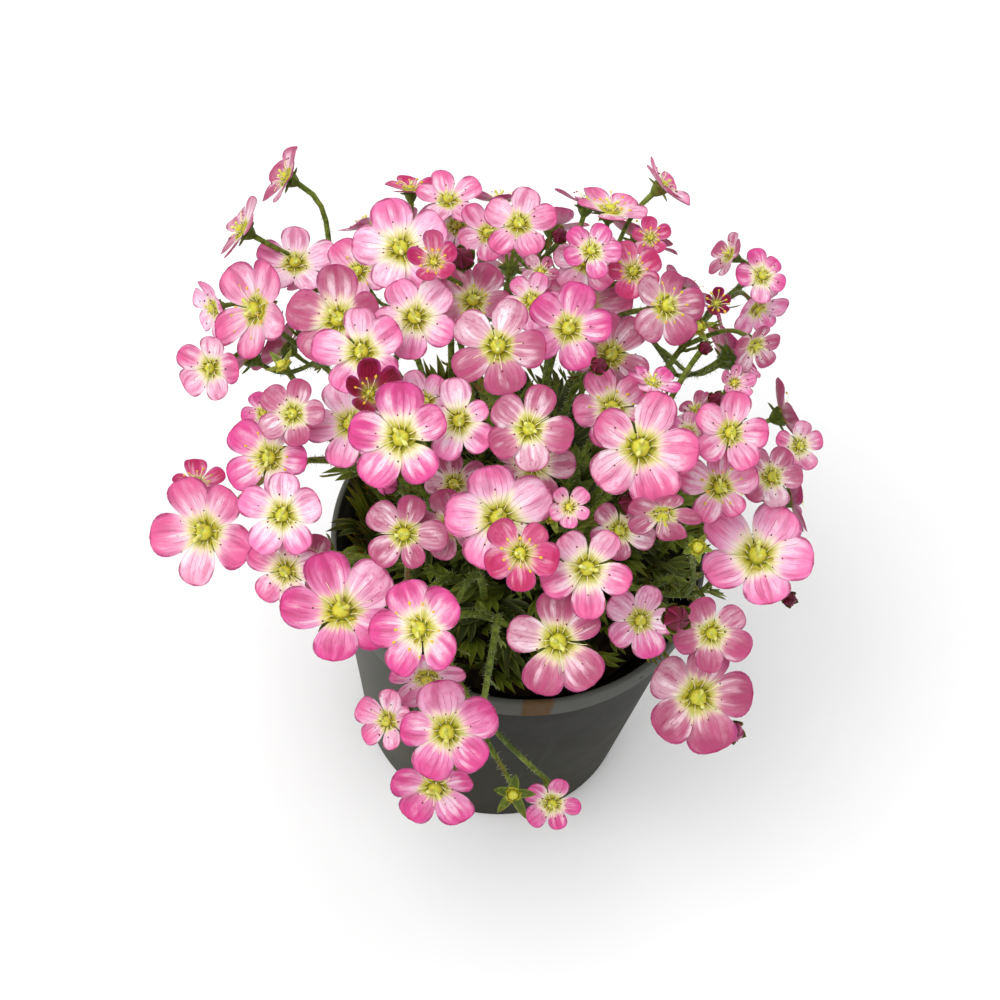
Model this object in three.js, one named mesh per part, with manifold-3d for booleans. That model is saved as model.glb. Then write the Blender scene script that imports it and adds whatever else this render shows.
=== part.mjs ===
// A mossy saxifrage in bloom, in a round plastic plant pot
import Module from "manifold-3d";
import * as THREE from "three";
import { mergeVertices } from "three/addons/utils/BufferGeometryUtils.js";

const wasm = await Module();
wasm.setup();

// Driving dimensions in millimetres. The pot's foot stands on z = 0, with its middle at the origin.
const POT = { height: 81, rim: 45, base: 35, wall: 1.4, floor: 2.2, lip: 6, step: 1.3, round: 0.7 };
const DRAIN = { count: 6, radius: 3.2, ring: 21, sides: 8 };
const SOIL = { top: 70, edge: 1.2 };
const MOUND = {
  radius: 40.4,
  edge: 7,
  crown: 30,
  sides: 20,
  leaves: 42,
  leafLength: 17,
  leafThick: 0.9,
  swings: [0, 0.4, -0.4, 0.8, -0.8],
};
const DOME = { x: -5, y: 5, z: 88, wide: 70, deep: 74, tall: 72 };
const STEM = { radius: 0.85, tip: 0.6, sides: 4, steps: 5, hangingSteps: 7, foot: 3 };
const BRANCH = { sides: 3, steps: 2 };
const PETAL = { half: 0.5, mid: 0.56, notch: 0.68, shoulder: 0.97, spread: 22 };
const CALYX_DEPTH = 3;
const OVARY_RISE = 1.3;
const GAP = 0.3;
const ROUND = 32;

// The view that the blooms are placed by, in points of a picture of 1000 by 1000
const VIEW = { pitch: 55, roll: 8, distance: 419, focal: 1751, middle: 500, rimX: 519.7, rimY: 537 };

// Every bloom and bud that faces the view: x and y of its middle in the picture, its width in
// millimetres, the angle in the picture that one of its petals points at, in degrees up from the right,
// which way it faces as seen (right and up, where it isn't square on), how far it stands proud of the
// dome of blooms (negative where it lies behind others), its kind where it isn't open, and in
// millimetres how far its stem sways to the left or right where that shows.
const SEEN = [
  { x: 287, y: 178, wide: 16, face: [-0.8, 0.42] },
  { x: 243, y: 230, wide: 17, petal: 231, face: [-0.8, 0.45] },
  { x: 295, y: 264, wide: 19, petal: 88, face: [0, 0.5] },
  { x: 257, y: 310, wide: 25, petal: 269, face: [-0.7, 0.1] },
  { x: 214, y: 308, wide: 14, petal: 95, face: [-0.8, -0.2], proud: -6 },
  { x: 211, y: 368, wide: 16, petal: 76, face: [-0.4, -0.1] },
  { x: 283, y: 366, wide: 8, face: [-0.5, 0.6], kind: "spent" },
  { x: 339, y: 320, wide: 22, petal: 92 },
  { x: 362, y: 352, wide: 20, petal: 97 },
  { x: 401, y: 249, wide: 22, petal: 106 },
  { x: 358, y: 272, wide: 17, petal: 132, proud: -7 },
  { x: 415, y: 318, wide: 19, petal: 118 },
  { x: 370, y: 394, wide: 12, face: [0.15, 0.3], kind: "cup", proud: 5 },
  { x: 401, y: 438, wide: 22, petal: 95, proud: 3 },
  { x: 351, y: 424, wide: 20, petal: 257, proud: -6 },
  { x: 293, y: 414, wide: 15, petal: 140 },
  { x: 264, y: 413, wide: 10, petal: 116 },
  { x: 270, y: 458, wide: 20, petal: 72 },
  { x: 206, y: 532, wide: 26, petal: 47 },
  { x: 197, y: 484, wide: 15, petal: 98, face: [0, 0.7] },
  { x: 283, y: 515, wide: 19, petal: 18 },
  { x: 286, y: 571, wide: 17, petal: 148 },
  { x: 313, y: 563, wide: 13, petal: 69, proud: -7 },
  { x: 341, y: 612, wide: 25, petal: 114, face: [0, 0.4] },
  { x: 421, y: 629, wide: 21, petal: 102, face: [-0.45, 0] },
  { x: 404, y: 534, wide: 18, petal: 145 },
  { x: 499, y: 518, wide: 23, petal: 99 },
  { x: 459, y: 421, wide: 17, petal: 241 },
  { x: 425, y: 402, wide: 14, petal: 124, proud: -6 },
  { x: 529, y: 429, wide: 18, petal: 135 },
  { x: 533, y: 465, wide: 17, petal: 0, proud: -6 },
  { x: 520, y: 553, wide: 16, petal: 128, proud: 4 },
  { x: 587, y: 568, wide: 20, petal: 123 },
  { x: 558, y: 641, wide: 23, petal: 96 },
  { x: 450, y: 525, wide: 15, petal: 180, proud: -7 },
  { x: 454, y: 484, wide: 15, petal: 170, proud: -7 },
  { x: 387, y: 484, wide: 7, kind: "bud" },
  { x: 371, y: 465, wide: 6, kind: "bud", proud: -5 },
  { x: 552, y: 515, wide: 7, kind: "spent" },
  { x: 569, y: 507, wide: 9, kind: "cup" },
  { x: 640, y: 448, wide: 25, petal: 71 },
  { x: 448, y: 201, wide: 16, petal: 98, face: [0, 0.6] },
  { x: 457, y: 226, wide: 15, petal: 10, proud: -6 },
  { x: 519, y: 224, wide: 17, petal: 80 },
  { x: 488, y: 234, wide: 15, petal: 198, proud: -6 },
  { x: 610, y: 211, wide: 18, petal: 146, face: [0.2, 0.85] },
  { x: 662, y: 186, wide: 15, petal: 141, face: [0.72, 0.62] },
  { x: 650, y: 238, wide: 10, petal: 93 },
  { x: 591, y: 251, wide: 13, petal: 62, proud: 3 },
  { x: 584, y: 262, wide: 17, petal: 99, proud: -7 },
  { x: 434, y: 262, wide: 11, petal: 95, kind: "cup", proud: 6 },
  { x: 463, y: 259, wide: 7, kind: "bud" },
  { x: 473, y: 301, wide: 18, petal: 130, proud: -6 },
  { x: 498, y: 347, wide: 21, petal: 69, proud: 2 },
  { x: 532, y: 301, wide: 15, petal: 137, proud: -6 },
  { x: 568, y: 329, wide: 19, petal: 73 },
  { x: 584, y: 306, wide: 21, petal: 80, proud: -7 },
  { x: 611, y: 355, wide: 19, petal: 40, proud: -7 },
  { x: 633, y: 272, wide: 14, petal: 34 },
  { x: 665, y: 306, wide: 19, petal: 80, face: [0.5, 0.1] },
  { x: 716, y: 304, wide: 7, kind: "cup" },
  { x: 762, y: 276, wide: 14, petal: 114 },
  { x: 730, y: 255, wide: 12, petal: 140, face: [-0.8, 0.4] },
  { x: 757, y: 308, wide: 15, face: [0.5, -0.6] },
  { x: 755, y: 345, wide: 13, face: [0.5, -0.5] },
  { x: 734, y: 383, wide: 8, kind: "cup" },
  { x: 697, y: 327, wide: 7, kind: "spent" },
  { x: 705, y: 348, wide: 4, kind: "bud" },
  { x: 716, y: 400, wide: 5, kind: "bud" },
  { x: 695, y: 410, wide: 10, face: [-0.6, 0.6], proud: -6 },
  { x: 730, y: 433, wide: 17, petal: 77 },
  { x: 688, y: 432, wide: 10, petal: 85 },
  { x: 799, y: 446, wide: 13, petal: 86 },
  { x: 719, y: 487, wide: 19, petal: 90 },
  { x: 771, y: 477, wide: 15, petal: 70 },
  { x: 757, y: 557, wide: 26, petal: 60, face: [0.1, 0.4] },
  { x: 640, y: 620, wide: 16, petal: 75 },
  { x: 711, y: 633, wide: 17, petal: 114 },
  { x: 697, y: 696, wide: 25, petal: 73 },
  { x: 676, y: 618, wide: 8, kind: "bud", proud: 4 },
  { x: 630, y: 503, wide: 7, kind: "bud" },
  { x: 619, y: 530, wide: 15, petal: 126, proud: -6 },
  { x: 663, y: 513, wide: 16, petal: 300, face: [0, -0.8] },
  { x: 697, y: 547, wide: 7, kind: "spent" },
  { x: 789, y: 599, wide: 5, kind: "bud" },
  { x: 599, y: 366, wide: 5, kind: "bud", proud: 2 },
  { x: 652, y: 383, wide: 12, face: [0.3, 0.8] },
  { x: 612, y: 408, wide: 19, petal: 112, proud: -8 },
  { x: 447, y: 731, wide: 22, petal: 99 },
  { x: 427, y: 677, wide: 18, petal: 224, face: [0, -0.7], proud: -5 },
  { x: 388, y: 721, wide: 15, petal: 140, face: [-0.5, -0.1] },
  { x: 435, y: 786, wide: 21, petal: 90, face: [0, -0.6] },
  { x: 552, y: 803, wide: 15, petal: 141, sway: -30 },
  { x: 513, y: 794, wide: 10, kind: "spent" },
  { x: 411, y: 190, wide: 13, face: [0, 0.9], proud: -5 },
  { x: 560, y: 236, wide: 5, kind: "bud" },
  { x: 541, y: 272, wide: 9, proud: -6 },
  { x: 733, y: 731, wide: 7, kind: "bud" },
];

// The far side, which the view doesn't reach, is filled by an even spiral of sites over the dome
const FAR = { sites: 150, wide: 19, spread: 6, lowest: 84, apart: 13.5, turned: -0.12 };
const GOLDEN_ANGLE = Math.PI * (3 - Math.sqrt(5));

// How far a bloom slides along its line of sight to find a place that is clear, in the order tried
const SLIDES = [0, -1.5, 1.5, -3, 3, -4.5, 4.5, -6, 6, -7.5, -9, -10.5, -12, -13.5, -15, -18, -21];
const CLEAR = 0.75;

// Which blooms share a stem, and the shapes of stem that are tried until one is clear of every bloom
const SPRAY = {
  most: 3,
  reach: 27,
  step: 0.11,
  forkDepths: [11, 15, 8, 20, 26],
  sways: [0, 6, -6, 12, -12, 18],
};
// How much a bloom turns out of the dome, against 1 towards the eye
const OUTWARD_PULL = 0.45;
const ROOTS = { sites: 78, radius: 34, pull: 0.45 };

const vec = (x, y, z) => new THREE.Vector3(x, y, z);
const turn = (degrees) => THREE.MathUtils.degToRad(degrees);
const along = (from, direction, length) => from.clone().addScaledVector(direction, length);

// A direction with a heading round the pot's axis and a climb above the level
function bearing(heading, climb) {
  const level = Math.cos(climb);
  return vec(Math.cos(heading) * level, Math.sin(heading) * level, Math.sin(climb));
}

// A steady draw between 0 and 1 for each number
function draw(number) {
  const wave = Math.sin(number * 12.9898) * 43758.5453;
  return wave - Math.floor(wave);
}

// A closed solid from a closed geometry, with its faces pointing out
function solid(geometry) {
  geometry.deleteAttribute("normal");
  geometry.deleteAttribute("uv");
  const merged = mergeVertices(geometry, 1e-3);
  const points = merged.getAttribute("position").array;
  const corners = merged.getIndex().array;
  const faces = [];
  let volume = 0;
  const a = new THREE.Vector3();
  const b = new THREE.Vector3();
  const c = new THREE.Vector3();
  for (let i = 0; i < corners.length; i += 3) {
    const [p, q, r] = [corners[i], corners[i + 1], corners[i + 2]];
    if (p === q || q === r || r === p) continue;
    faces.push([p, q, r]);
    b.fromArray(points, 3 * q).cross(c.fromArray(points, 3 * r));
    volume += a.fromArray(points, 3 * p).dot(b);
  }
  const triVerts = Uint32Array.from(faces.flatMap(([p, q, r]) => (volume > 0 ? [p, q, r] : [p, r, q])));
  return new wasm.Manifold(new wasm.Mesh({ numProp: 3, vertProperties: points, triVerts }));
}

// A closed solid from a list of points and a list of triangles
function shell(points, faces) {
  const geometry = new THREE.BufferGeometry();
  const numbers = points.flatMap((point) => point.toArray());
  geometry.setAttribute("position", new THREE.Float32BufferAttribute(numbers, 3));
  geometry.setIndex(faces.flat());
  return solid(geometry);
}

// The largest connected piece of a solid, so that scraps are dropped and sealed hollows are filled
function largest(body) {
  const pieces = body.decompose();
  return pieces.reduce((best, piece) => (piece.volume() > best.volume() ? piece : best));
}

function join(bodies) {
  return bodies.reduce((sum, body) => sum.add(body));
}

function mesh(name, body, material) {
  const { vertProperties, triVerts } = body.getMesh();
  const geometry = new THREE.BufferGeometry();
  geometry.setAttribute("position", new THREE.Float32BufferAttribute(vertProperties, 3));
  geometry.setIndex([...triVerts]);
  geometry.computeVertexNormals();
  const piece = new THREE.Mesh(geometry, material);
  piece.name = name;
  return piece;
}

const finish = (color, roughness) => new THREE.MeshStandardMaterial({ color, roughness, metalness: 0 });
const potPlastic = () => finish(0x55554f, 0.55);
const compost = () => finish(0x2c2019, 0.95);
const leafGreen = () => finish(0x2f4a1c, 0.6);
const petalPink = () => finish(0xd96fa6, 0.6);

// A profile of radius and height, turned round the pot's axis
function turned(profile, sides = ROUND) {
  const points = profile.map(([radius, height]) => new THREE.Vector2(radius, height));
  const geometry = new THREE.LatheGeometry(points, sides);
  geometry.rotateX(Math.PI / 2);
  return solid(geometry);
}

// Radius of the pot's outer wall under the lip, at a height
function wallRadius(height) {
  const slope = (POT.rim - POT.step - POT.base) / (POT.height - POT.lip);
  return POT.base + slope * Math.min(height, POT.height - POT.lip);
}

function pot() {
  const under = POT.height - POT.lip;
  const inner = (height) => wallRadius(height) - POT.wall;
  const lipInner = POT.rim - POT.wall;
  let body = turned([
    [0, 0],
    [POT.base - POT.round, 0],
    [POT.base, POT.round],
    [wallRadius(under), under],
    [POT.rim - POT.round, under],
    [POT.rim - 0.3, under + POT.round],
    [POT.rim, POT.height - POT.round],
    [POT.rim - POT.wall / 2, POT.height],
    [lipInner, POT.height - POT.round / 2],
    [lipInner - 0.3, under + POT.round],
    [inner(under), under - POT.wall],
    [inner(POT.floor), POT.floor],
    [0, POT.floor],
  ]);
  for (let i = 0; i < DRAIN.count; i++) {
    const angle = (2 * Math.PI * i) / DRAIN.count;
    const hole = new THREE.CylinderGeometry(DRAIN.radius, DRAIN.radius, 3 * POT.floor, DRAIN.sides);
    hole.rotateX(Math.PI / 2);
    hole.translate(DRAIN.ring * Math.cos(angle), DRAIN.ring * Math.sin(angle), POT.floor / 2);
    body = body.subtract(solid(hole));
  }
  return body;
}

// A ring round the pot's wall and lip, which leaves and stems are kept out of
function wallSleeve() {
  const outer = POT.rim + GAP;
  const inner = POT.rim - POT.wall - POT.step - 2 * GAP;
  return turned([
    [inner - 3, SOIL.top - 6],
    [outer, SOIL.top - 6],
    [outer, POT.height + GAP],
    [POT.rim - POT.wall - GAP, POT.height + GAP],
    [inner, POT.height - POT.lip - POT.wall],
    [inner - 3, SOIL.top - 6],
  ]);
}

function soil() {
  const inner = (height) => wallRadius(height) - POT.wall - GAP;
  return turned([
    [0, POT.floor + GAP],
    [inner(POT.floor) - GAP, POT.floor + GAP],
    [inner(SOIL.top - SOIL.edge), SOIL.top - SOIL.edge],
    [MOUND.radius - 4, SOIL.top],
    [0, SOIL.top],
  ]);
}

const FORWARD = vec(0, Math.cos(turn(VIEW.pitch)), -Math.sin(turn(VIEW.pitch)));
const LEVEL_UP = vec(1, 0, 0).cross(FORWARD);
const ACROSS = vec(1, 0, 0).multiplyScalar(Math.cos(turn(VIEW.roll)));
ACROSS.addScaledVector(LEVEL_UP, Math.sin(turn(VIEW.roll)));
const ABOVE = vec(-1, 0, 0).multiplyScalar(Math.sin(turn(VIEW.roll)));
ABOVE.addScaledVector(LEVEL_UP, Math.cos(turn(VIEW.roll)));

// The line of sight through a point of the picture
function sightLine(x, y) {
  const line = along(FORWARD, ACROSS, (x - VIEW.middle) / VIEW.focal);
  return line.addScaledVector(ABOVE, (VIEW.middle - y) / VIEW.focal).normalize();
}

const EYE = along(vec(0, 0, POT.height), sightLine(VIEW.rimX, VIEW.rimY), -VIEW.distance);

// Where a line of sight meets the dome grown by some millimetres, or passes nearest to it
function meetDome(line, proud) {
  const size = vec(DOME.wide + proud, DOME.deep + proud, DOME.tall + proud);
  const from = EYE.clone().sub(vec(DOME.x, DOME.y, DOME.z)).divide(size);
  const toward = line.clone().divide(size);
  const square = toward.lengthSq();
  const half = from.dot(toward);
  const inside = half * half - square * (from.lengthSq() - 1);
  return along(EYE, line, (-half - Math.sqrt(Math.max(0, inside))) / square);
}

function outward(point) {
  const size = vec(DOME.wide, DOME.deep, DOME.tall);
  return point.clone().sub(vec(DOME.x, DOME.y, DOME.z)).divide(size).divide(size).normalize();
}

// Which way a bloom faces: as measured, or at the eye and a little out of the dome
function facing(entry, centre, line) {
  if (!entry.face) return outward(centre).multiplyScalar(OUTWARD_PULL).sub(line).normalize();
  const [x, y] = entry.face;
  const square = Math.sqrt(1 - x * x - y * y);
  const face = line.clone().multiplyScalar(-square);
  return face.addScaledVector(ACROSS, x).addScaledVector(ABOVE, y).normalize();
}

// The direction of one petal, in the plane of the bloom that faces this way, by a steady draw
function drawnPetal(face, number) {
  const side = vec(0, 0, 1).cross(face).normalize();
  const ahead = face.clone().cross(side);
  const twist = turn(72 * draw(number));
  return side.multiplyScalar(Math.cos(twist)).addScaledVector(ahead, Math.sin(twist));
}

// The direction in that plane that a line of sight shows at an angle of the picture
function seenPetal(degrees, face, line) {
  const seen = ACROSS.clone().multiplyScalar(Math.cos(turn(degrees)));
  seen.addScaledVector(ABOVE, Math.sin(turn(degrees)));
  return seen.addScaledVector(line, -seen.dot(face) / line.dot(face)).normalize();
}

// A bloom's place, size and turn. Its cup is how much its rim rises, as a part of its radius.
function describe(centre, face, petal, wide, kind, slide, number) {
  const cups = { open: 0.14 + 0.2 * draw(number + 200), cup: 0.9, spent: 0.3, bud: 0 };
  return {
    centre,
    face,
    kind,
    slide,
    number,
    radius: wide / 2,
    cup: cups[kind],
    axisX: petal,
    axisY: face.clone().cross(petal),
  };
}

function seenBlooms() {
  return SEEN.map((entry, number) => {
    const line = sightLine(entry.x, entry.y);
    const centre = meetDome(line, entry.proud ?? 0);
    const face = facing(entry, centre, line);
    const known = entry.petal !== undefined;
    const petal = known ? seenPetal(entry.petal, face, line) : drawnPetal(face, number);
    return describe(centre, face, petal, entry.wide, entry.kind ?? "open", line, number);
  });
}

function farBlooms(seen) {
  const found = [];
  for (let i = 0; i < FAR.sites; i++) {
    const height = 1 - (2 * i + 1) / FAR.sites;
    const ring = Math.sqrt(1 - height * height);
    const site = vec(ring * Math.cos(i * GOLDEN_ANGLE), ring * Math.sin(i * GOLDEN_ANGLE), height);
    const centre = site.multiply(vec(DOME.wide, DOME.deep, DOME.tall)).add(vec(DOME.x, DOME.y, DOME.z));
    const out = outward(centre);
    const hidden = out.dot(FORWARD) > FAR.turned && centre.z > FAR.lowest;
    const apart = (bloom) => bloom.centre.distanceTo(centre) > FAR.apart;
    if (!hidden || !seen.every(apart) || !found.every(apart)) continue;
    const wide = FAR.wide + FAR.spread * (draw(i + 400) - 0.5);
    const face = along(out, vec(0, 0, 1), 0.25).normalize();
    const number = seen.length + found.length;
    found.push(describe(centre, face, drawnPetal(face, number), wide, "open", out.negate(), number));
  }
  return found;
}

// Points that stand for a bloom in the search for a clear place: rings of its dish, and its calyx
function probes(bloom) {
  const points = [along(bloom.centre, bloom.face, -CALYX_DEPTH)];
  for (let ring = 0.25; ring <= 1; ring += 0.25) {
    const reach = ring * bloom.radius;
    const rise = bloom.cup * reach * ring;
    for (let i = 0; i < 20; i++) {
      const angle = (Math.PI * i) / 10;
      const point = along(bloom.centre, bloom.axisX, reach * Math.cos(angle));
      point.addScaledVector(bloom.axisY, reach * Math.sin(angle));
      points.push(point.addScaledVector(bloom.face, rise));
    }
  }
  return points;
}

// Whether a point lies within a margin of a bloom's dish
function touches(point, bloom, margin) {
  const away = point.clone().sub(bloom.centre);
  const rise = away.dot(bloom.face);
  const reach = Math.sqrt(Math.max(0, away.lengthSq() - rise * rise));
  if (reach > bloom.radius + margin) return false;
  if (bloom.kind === "bud") return Math.abs(rise) < bloom.radius + margin;
  return Math.abs(rise - (bloom.cup * reach * reach) / bloom.radius) < PETAL.half + margin;
}

function clash(one, other) {
  if (one.centre.distanceTo(other.centre) > 1.3 * (one.radius + other.radius) + 1) return false;
  return (
    probes(one).some((point) => touches(point, other, CLEAR)) ||
    probes(other).some((point) => touches(point, one, CLEAR))
  );
}

// Every bloom slides along its line of sight, those in front first, until its petals are clear
function placeBlooms() {
  const seen = seenBlooms();
  const order = seen.map((bloom) => bloom.number);
  order.sort((a, b) => (SEEN[b].proud ?? 0) - (SEEN[a].proud ?? 0) || a - b);
  const placed = [];
  for (const bloom of [...order.map((number) => seen[number]), ...farBlooms(seen)]) {
    const trials = SLIDES.map((slide) => ({ ...bloom, centre: along(bloom.centre, bloom.slide, -slide) }));
    const counts = trials.map((trial) => placed.filter((other) => clash(trial, other)).length);
    placed.push(trials[counts.indexOf(Math.min(...counts))]);
  }
  return placed.sort((a, b) => a.number - b.number);
}

// Blooms that share a stem: each free bloom takes its nearest free neighbours
function gather(blooms) {
  const free = new Set(blooms);
  const groups = [];
  for (const first of blooms) {
    if (!free.delete(first)) continue;
    const near = [...free].map((bloom) => [first.centre.distanceTo(bloom.centre), bloom]);
    const mates = near.filter(([distance]) => distance < SPRAY.reach).sort((a, b) => a[0] - b[0]);
    const members = [first, ...mates.slice(0, SPRAY.most - 1).map(([, bloom]) => bloom)];
    members.forEach((bloom) => free.delete(bloom));
    groups.push(members);
  }
  return groups;
}

const mean = (vectors) => vectors.reduce((sum, v) => sum.add(v), vec(0, 0, 0)).divideScalar(vectors.length);

// How far below a head's middle its stalk ends: under the calyx of a bloom, at the foot of a bud
function stalkDepth({ kind, radius }) {
  return kind === "bud" ? 0.75 * radius : Math.min(CALYX_DEPTH, 0.7 * radius);
}

const calyxBase = (bloom) => along(bloom.centre, bloom.face, -stalkDepth(bloom));

// Height of the top of the leaf mound's core, at a distance from the pot's axis
function moundTop(radius) {
  const part = radius / MOUND.radius;
  return SOIL.top + GAP + MOUND.edge + (MOUND.crown - MOUND.edge) * (1 - part * part);
}

// Each group takes the free site in the mound nearest to under it
function rootSites(groups) {
  const free = new Set();
  for (let i = 0; i < ROOTS.sites; i++) {
    const radius = ROOTS.radius * Math.sqrt((i + 0.5) / ROOTS.sites);
    const foot = moundTop(radius) - STEM.foot;
    free.add(vec(radius * Math.cos(i * GOLDEN_ANGLE), radius * Math.sin(i * GOLDEN_ANGLE), foot));
  }
  return groups.map((group) => {
    const under = mean(group.map((bloom) => bloom.centre)).multiplyScalar(ROOTS.pull);
    const away = (site) => Math.hypot(site.x - under.x, site.y - under.y);
    const best = [...free].reduce((a, b) => (away(a) <= away(b) ? a : b));
    free.delete(best);
    return best;
  });
}

// The stem of one spray and the branches of its blooms, for one depth of fork and one sway of the stem.
// The first bloom ends the stem itself, and the others leave it one after another below the fork.
function sprayCurves(group, root, forkDepth, sway) {
  const face = mean(group.map((bloom) => bloom.face)).normalize();
  const fork = along(mean(group.map(calyxBase)), face, -forkDepth);
  const out = vec(fork.x, fork.y, 0);
  const hangs = fork.z < POT.height + 16 && out.length() > POT.rim - 6;
  out.normalize();
  if (hangs) fork.addScaledVector(out, Math.max(0, POT.rim + 8 - Math.hypot(fork.x, fork.y)));
  const aside = vec(-out.y, out.x, 0).multiplyScalar(sway);
  const length = fork.distanceTo(root);
  const up = vec(0, 0, 1);
  const end = hangs ? along(out, up, -2.4).normalize() : along(face, up, 0.8).normalize();
  const leave = along(root, up, hangs ? 46 : 0.4 * length).addScaledVector(out, hangs ? 8 : 0).add(aside);
  const arrive = along(fork, end, hangs ? -34 : -0.35 * length).add(aside);
  const stem = new THREE.CubicBezierCurve3(root, leave, arrive, fork);
  const branches = group.map((bloom, i) => {
    const part = 1 - SPRAY.step * i;
    const start = stem.getPoint(part);
    const base = calyxBase(bloom);
    const reach = 0.42 * base.distanceTo(start);
    const toward = base.clone().sub(start).normalize();
    const leaves = i === 0 ? end : along(toward, stem.getTangent(part), 0.5).normalize();
    const middle = along(start, leaves, reach);
    return new THREE.CubicBezierCurve3(start, middle, along(base, bloom.face, -reach), base);
  });
  return { group, stem, branches, steps: hangs ? STEM.hangingSteps : STEM.steps };
}

// How often a spray's stem and pedicels run through a bloom, the pot or a stem that is laid already
function crossings(spray, blooms, laid) {
  const own = new Set(spray.group);
  let count = 0;
  const look = (point, radius, ending) => {
    const low = point.z < POT.height + 2 && point.z > SOIL.top + 4;
    const distance = Math.hypot(point.x, point.y);
    if (low && Math.abs(distance - POT.rim + 1) < 3 + radius) count += 5;
    for (const bloom of blooms) {
      if (ending === bloom) continue;
      if (touches(point, bloom, radius + 0.35)) count += own.has(bloom) ? 0.5 : 1;
    }
    for (const other of laid) if (other.distanceToSquared(point) < 4) count += 0.5;
  };
  const walk = (curve, radius, ending) => {
    const pieces = Math.ceil(curve.getLength() / 1.5);
    for (let i = 0; i <= pieces; i++) look(curve.getPoint(i / pieces), radius, ending);
  };
  walk(spray.stem, STEM.radius, null);
  spray.branches.forEach((branch, i) => walk(branch, STEM.tip, spray.group[i]));
  return count;
}

function laySprays(blooms) {
  const groups = gather(blooms);
  const roots = rootSites(groups);
  const laid = [];
  return groups.map((group, i) => {
    const own = SEEN[group[0].number]?.sway;
    const sways = own === undefined ? SPRAY.sways : [own];
    const trials = SPRAY.forkDepths.flatMap((depth) =>
      sways.map((sway) => sprayCurves(group, roots[i], depth, sway)),
    );
    const counts = trials.map((trial) => crossings(trial, blooms, laid));
    const best = trials[counts.indexOf(Math.min(...counts))];
    for (const curve of [best.stem, ...best.branches]) laid.push(...curve.getPoints(20));
    return best;
  });
}

// An open bloom: a dish of five round lobes that taper to one edge, with the ovary as a low peak.
// Its underside is left open round the calyx, at the ring that its stalk is joined to.
// swell makes a solid fatter all over, for the room that it is given in its neighbours.
function openBloom(bloom, swell) {
  const radius = bloom.radius + swell;
  const half = Math.min(PETAL.half, 0.16 * radius) + swell;
  const place = (angle, part, lift) => {
    const reach = part * radius;
    const point = along(bloom.centre, bloom.axisX, reach * Math.cos(turn(angle)));
    point.addScaledVector(bloom.axisY, reach * Math.sin(turn(angle)));
    return point.addScaledVector(bloom.face, bloom.cup * reach * part + lift);
  };
  const points = [];
  for (let petal = 0; petal < 5; petal++) {
    const middle = 72 * petal;
    points.push(place(middle - 36, PETAL.notch, 0));
    points.push(place(middle - PETAL.spread, PETAL.shoulder, 0));
    points.push(place(middle, 1, 0));
    points.push(place(middle + PETAL.spread, PETAL.shoulder, 0));
  }
  for (const lift of [half, -half]) {
    for (let petal = 0; petal < 5; petal++) points.push(place(72 * petal, PETAL.mid, lift));
  }
  points.push(along(bloom.centre, bloom.face, Math.min(OVARY_RISE, 0.25 * radius) + swell));
  const faces = [];
  const under = [];
  for (let petal = 0; petal < 5; petal++) {
    const rim = [4 * petal, 4 * petal + 1, 4 * petal + 2, 4 * petal + 3, (4 * petal + 4) % 20];
    const [top, back] = [20 + petal, 25 + petal];
    for (let i = 0; i < 4; i++) faces.push([top, rim[i], rim[i + 1]], [back, rim[i + 1], rim[i]]);
    faces.push([30, rim[0], top], [30, top, rim[4]]);
    under.push(back, rim[4]);
  }
  return { points, faces, under };
}

// A bud: two rings of five points below a tip, open at its foot
function bud(bloom, swell) {
  const long = bloom.radius + swell;
  const ring = (part, rise) =>
    [0, 1, 2, 3, 4].map((i) => {
      const angle = turn(72 * i);
      const point = along(bloom.centre, bloom.axisX, part * long * Math.cos(angle));
      point.addScaledVector(bloom.axisY, part * long * Math.sin(angle));
      return point.addScaledVector(bloom.face, rise * long);
    });
  const points = [...ring(0.62, -0.45), ...ring(0.58, 0.4), along(bloom.centre, bloom.face, 1.1 * long)];
  const faces = [];
  for (let i = 0; i < 5; i++) {
    const j = (i + 1) % 5;
    faces.push([i, j, 5 + j], [i, 5 + j, 5 + i], [10, 5 + i, 5 + j]);
  }
  return { points, faces, under: [0, 1, 2, 3, 4] };
}

// Triangles that join one ring of corners to another one above it, both going round the same way
function stitch(lower, upper) {
  const faces = [];
  let i = 0;
  let j = 0;
  while (i < lower.length || j < upper.length) {
    const [a, b] = [lower[i % lower.length], upper[j % upper.length]];
    if ((i + 1) / lower.length <= (j + 1) / upper.length) {
      i += 1;
      faces.push([a, lower[i % lower.length], b]);
    } else {
      j += 1;
      faces.push([a, upper[j % upper.length], b]);
    }
  }
  return faces;
}

// A stalk of a few sides along a path, with a head on its end, as one closed solid.
// Its rings are turned as little as possible from one to the next, down from the head.
function stalkWithHead(bloom, path, sides, radii, swell) {
  const head = bloom.kind === "bud" ? bud(bloom, swell) : openBloom(bloom, swell);
  const points = [...head.points];
  const faces = [...head.faces];
  let axis = bloom.axisX;
  let upper = head.under;
  for (let k = path.length - 1; k >= 0; k--) {
    const ahead = path[Math.min(k + 1, path.length - 1)].clone().sub(path[Math.max(k - 1, 0)]).normalize();
    axis = along(axis, ahead, -axis.dot(ahead)).normalize();
    const other = ahead.clone().cross(axis);
    const part = k / (path.length - 1);
    const radius = radii[0] + (radii[1] - radii[0]) * part + swell;
    const ring = [];
    for (let i = 0; i < sides; i++) {
      const angle = (2 * Math.PI * i) / sides;
      ring.push(points.length);
      const point = along(path[k], axis, radius * Math.cos(angle));
      points.push(point.addScaledVector(other, radius * Math.sin(angle)));
    }
    faces.push(...stitch(ring, upper));
    upper = ring;
  }
  for (let i = 2; i < sides; i++) faces.push([upper[0], upper[i], upper[i - 1]]);
  return shell(points, faces);
}

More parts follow.
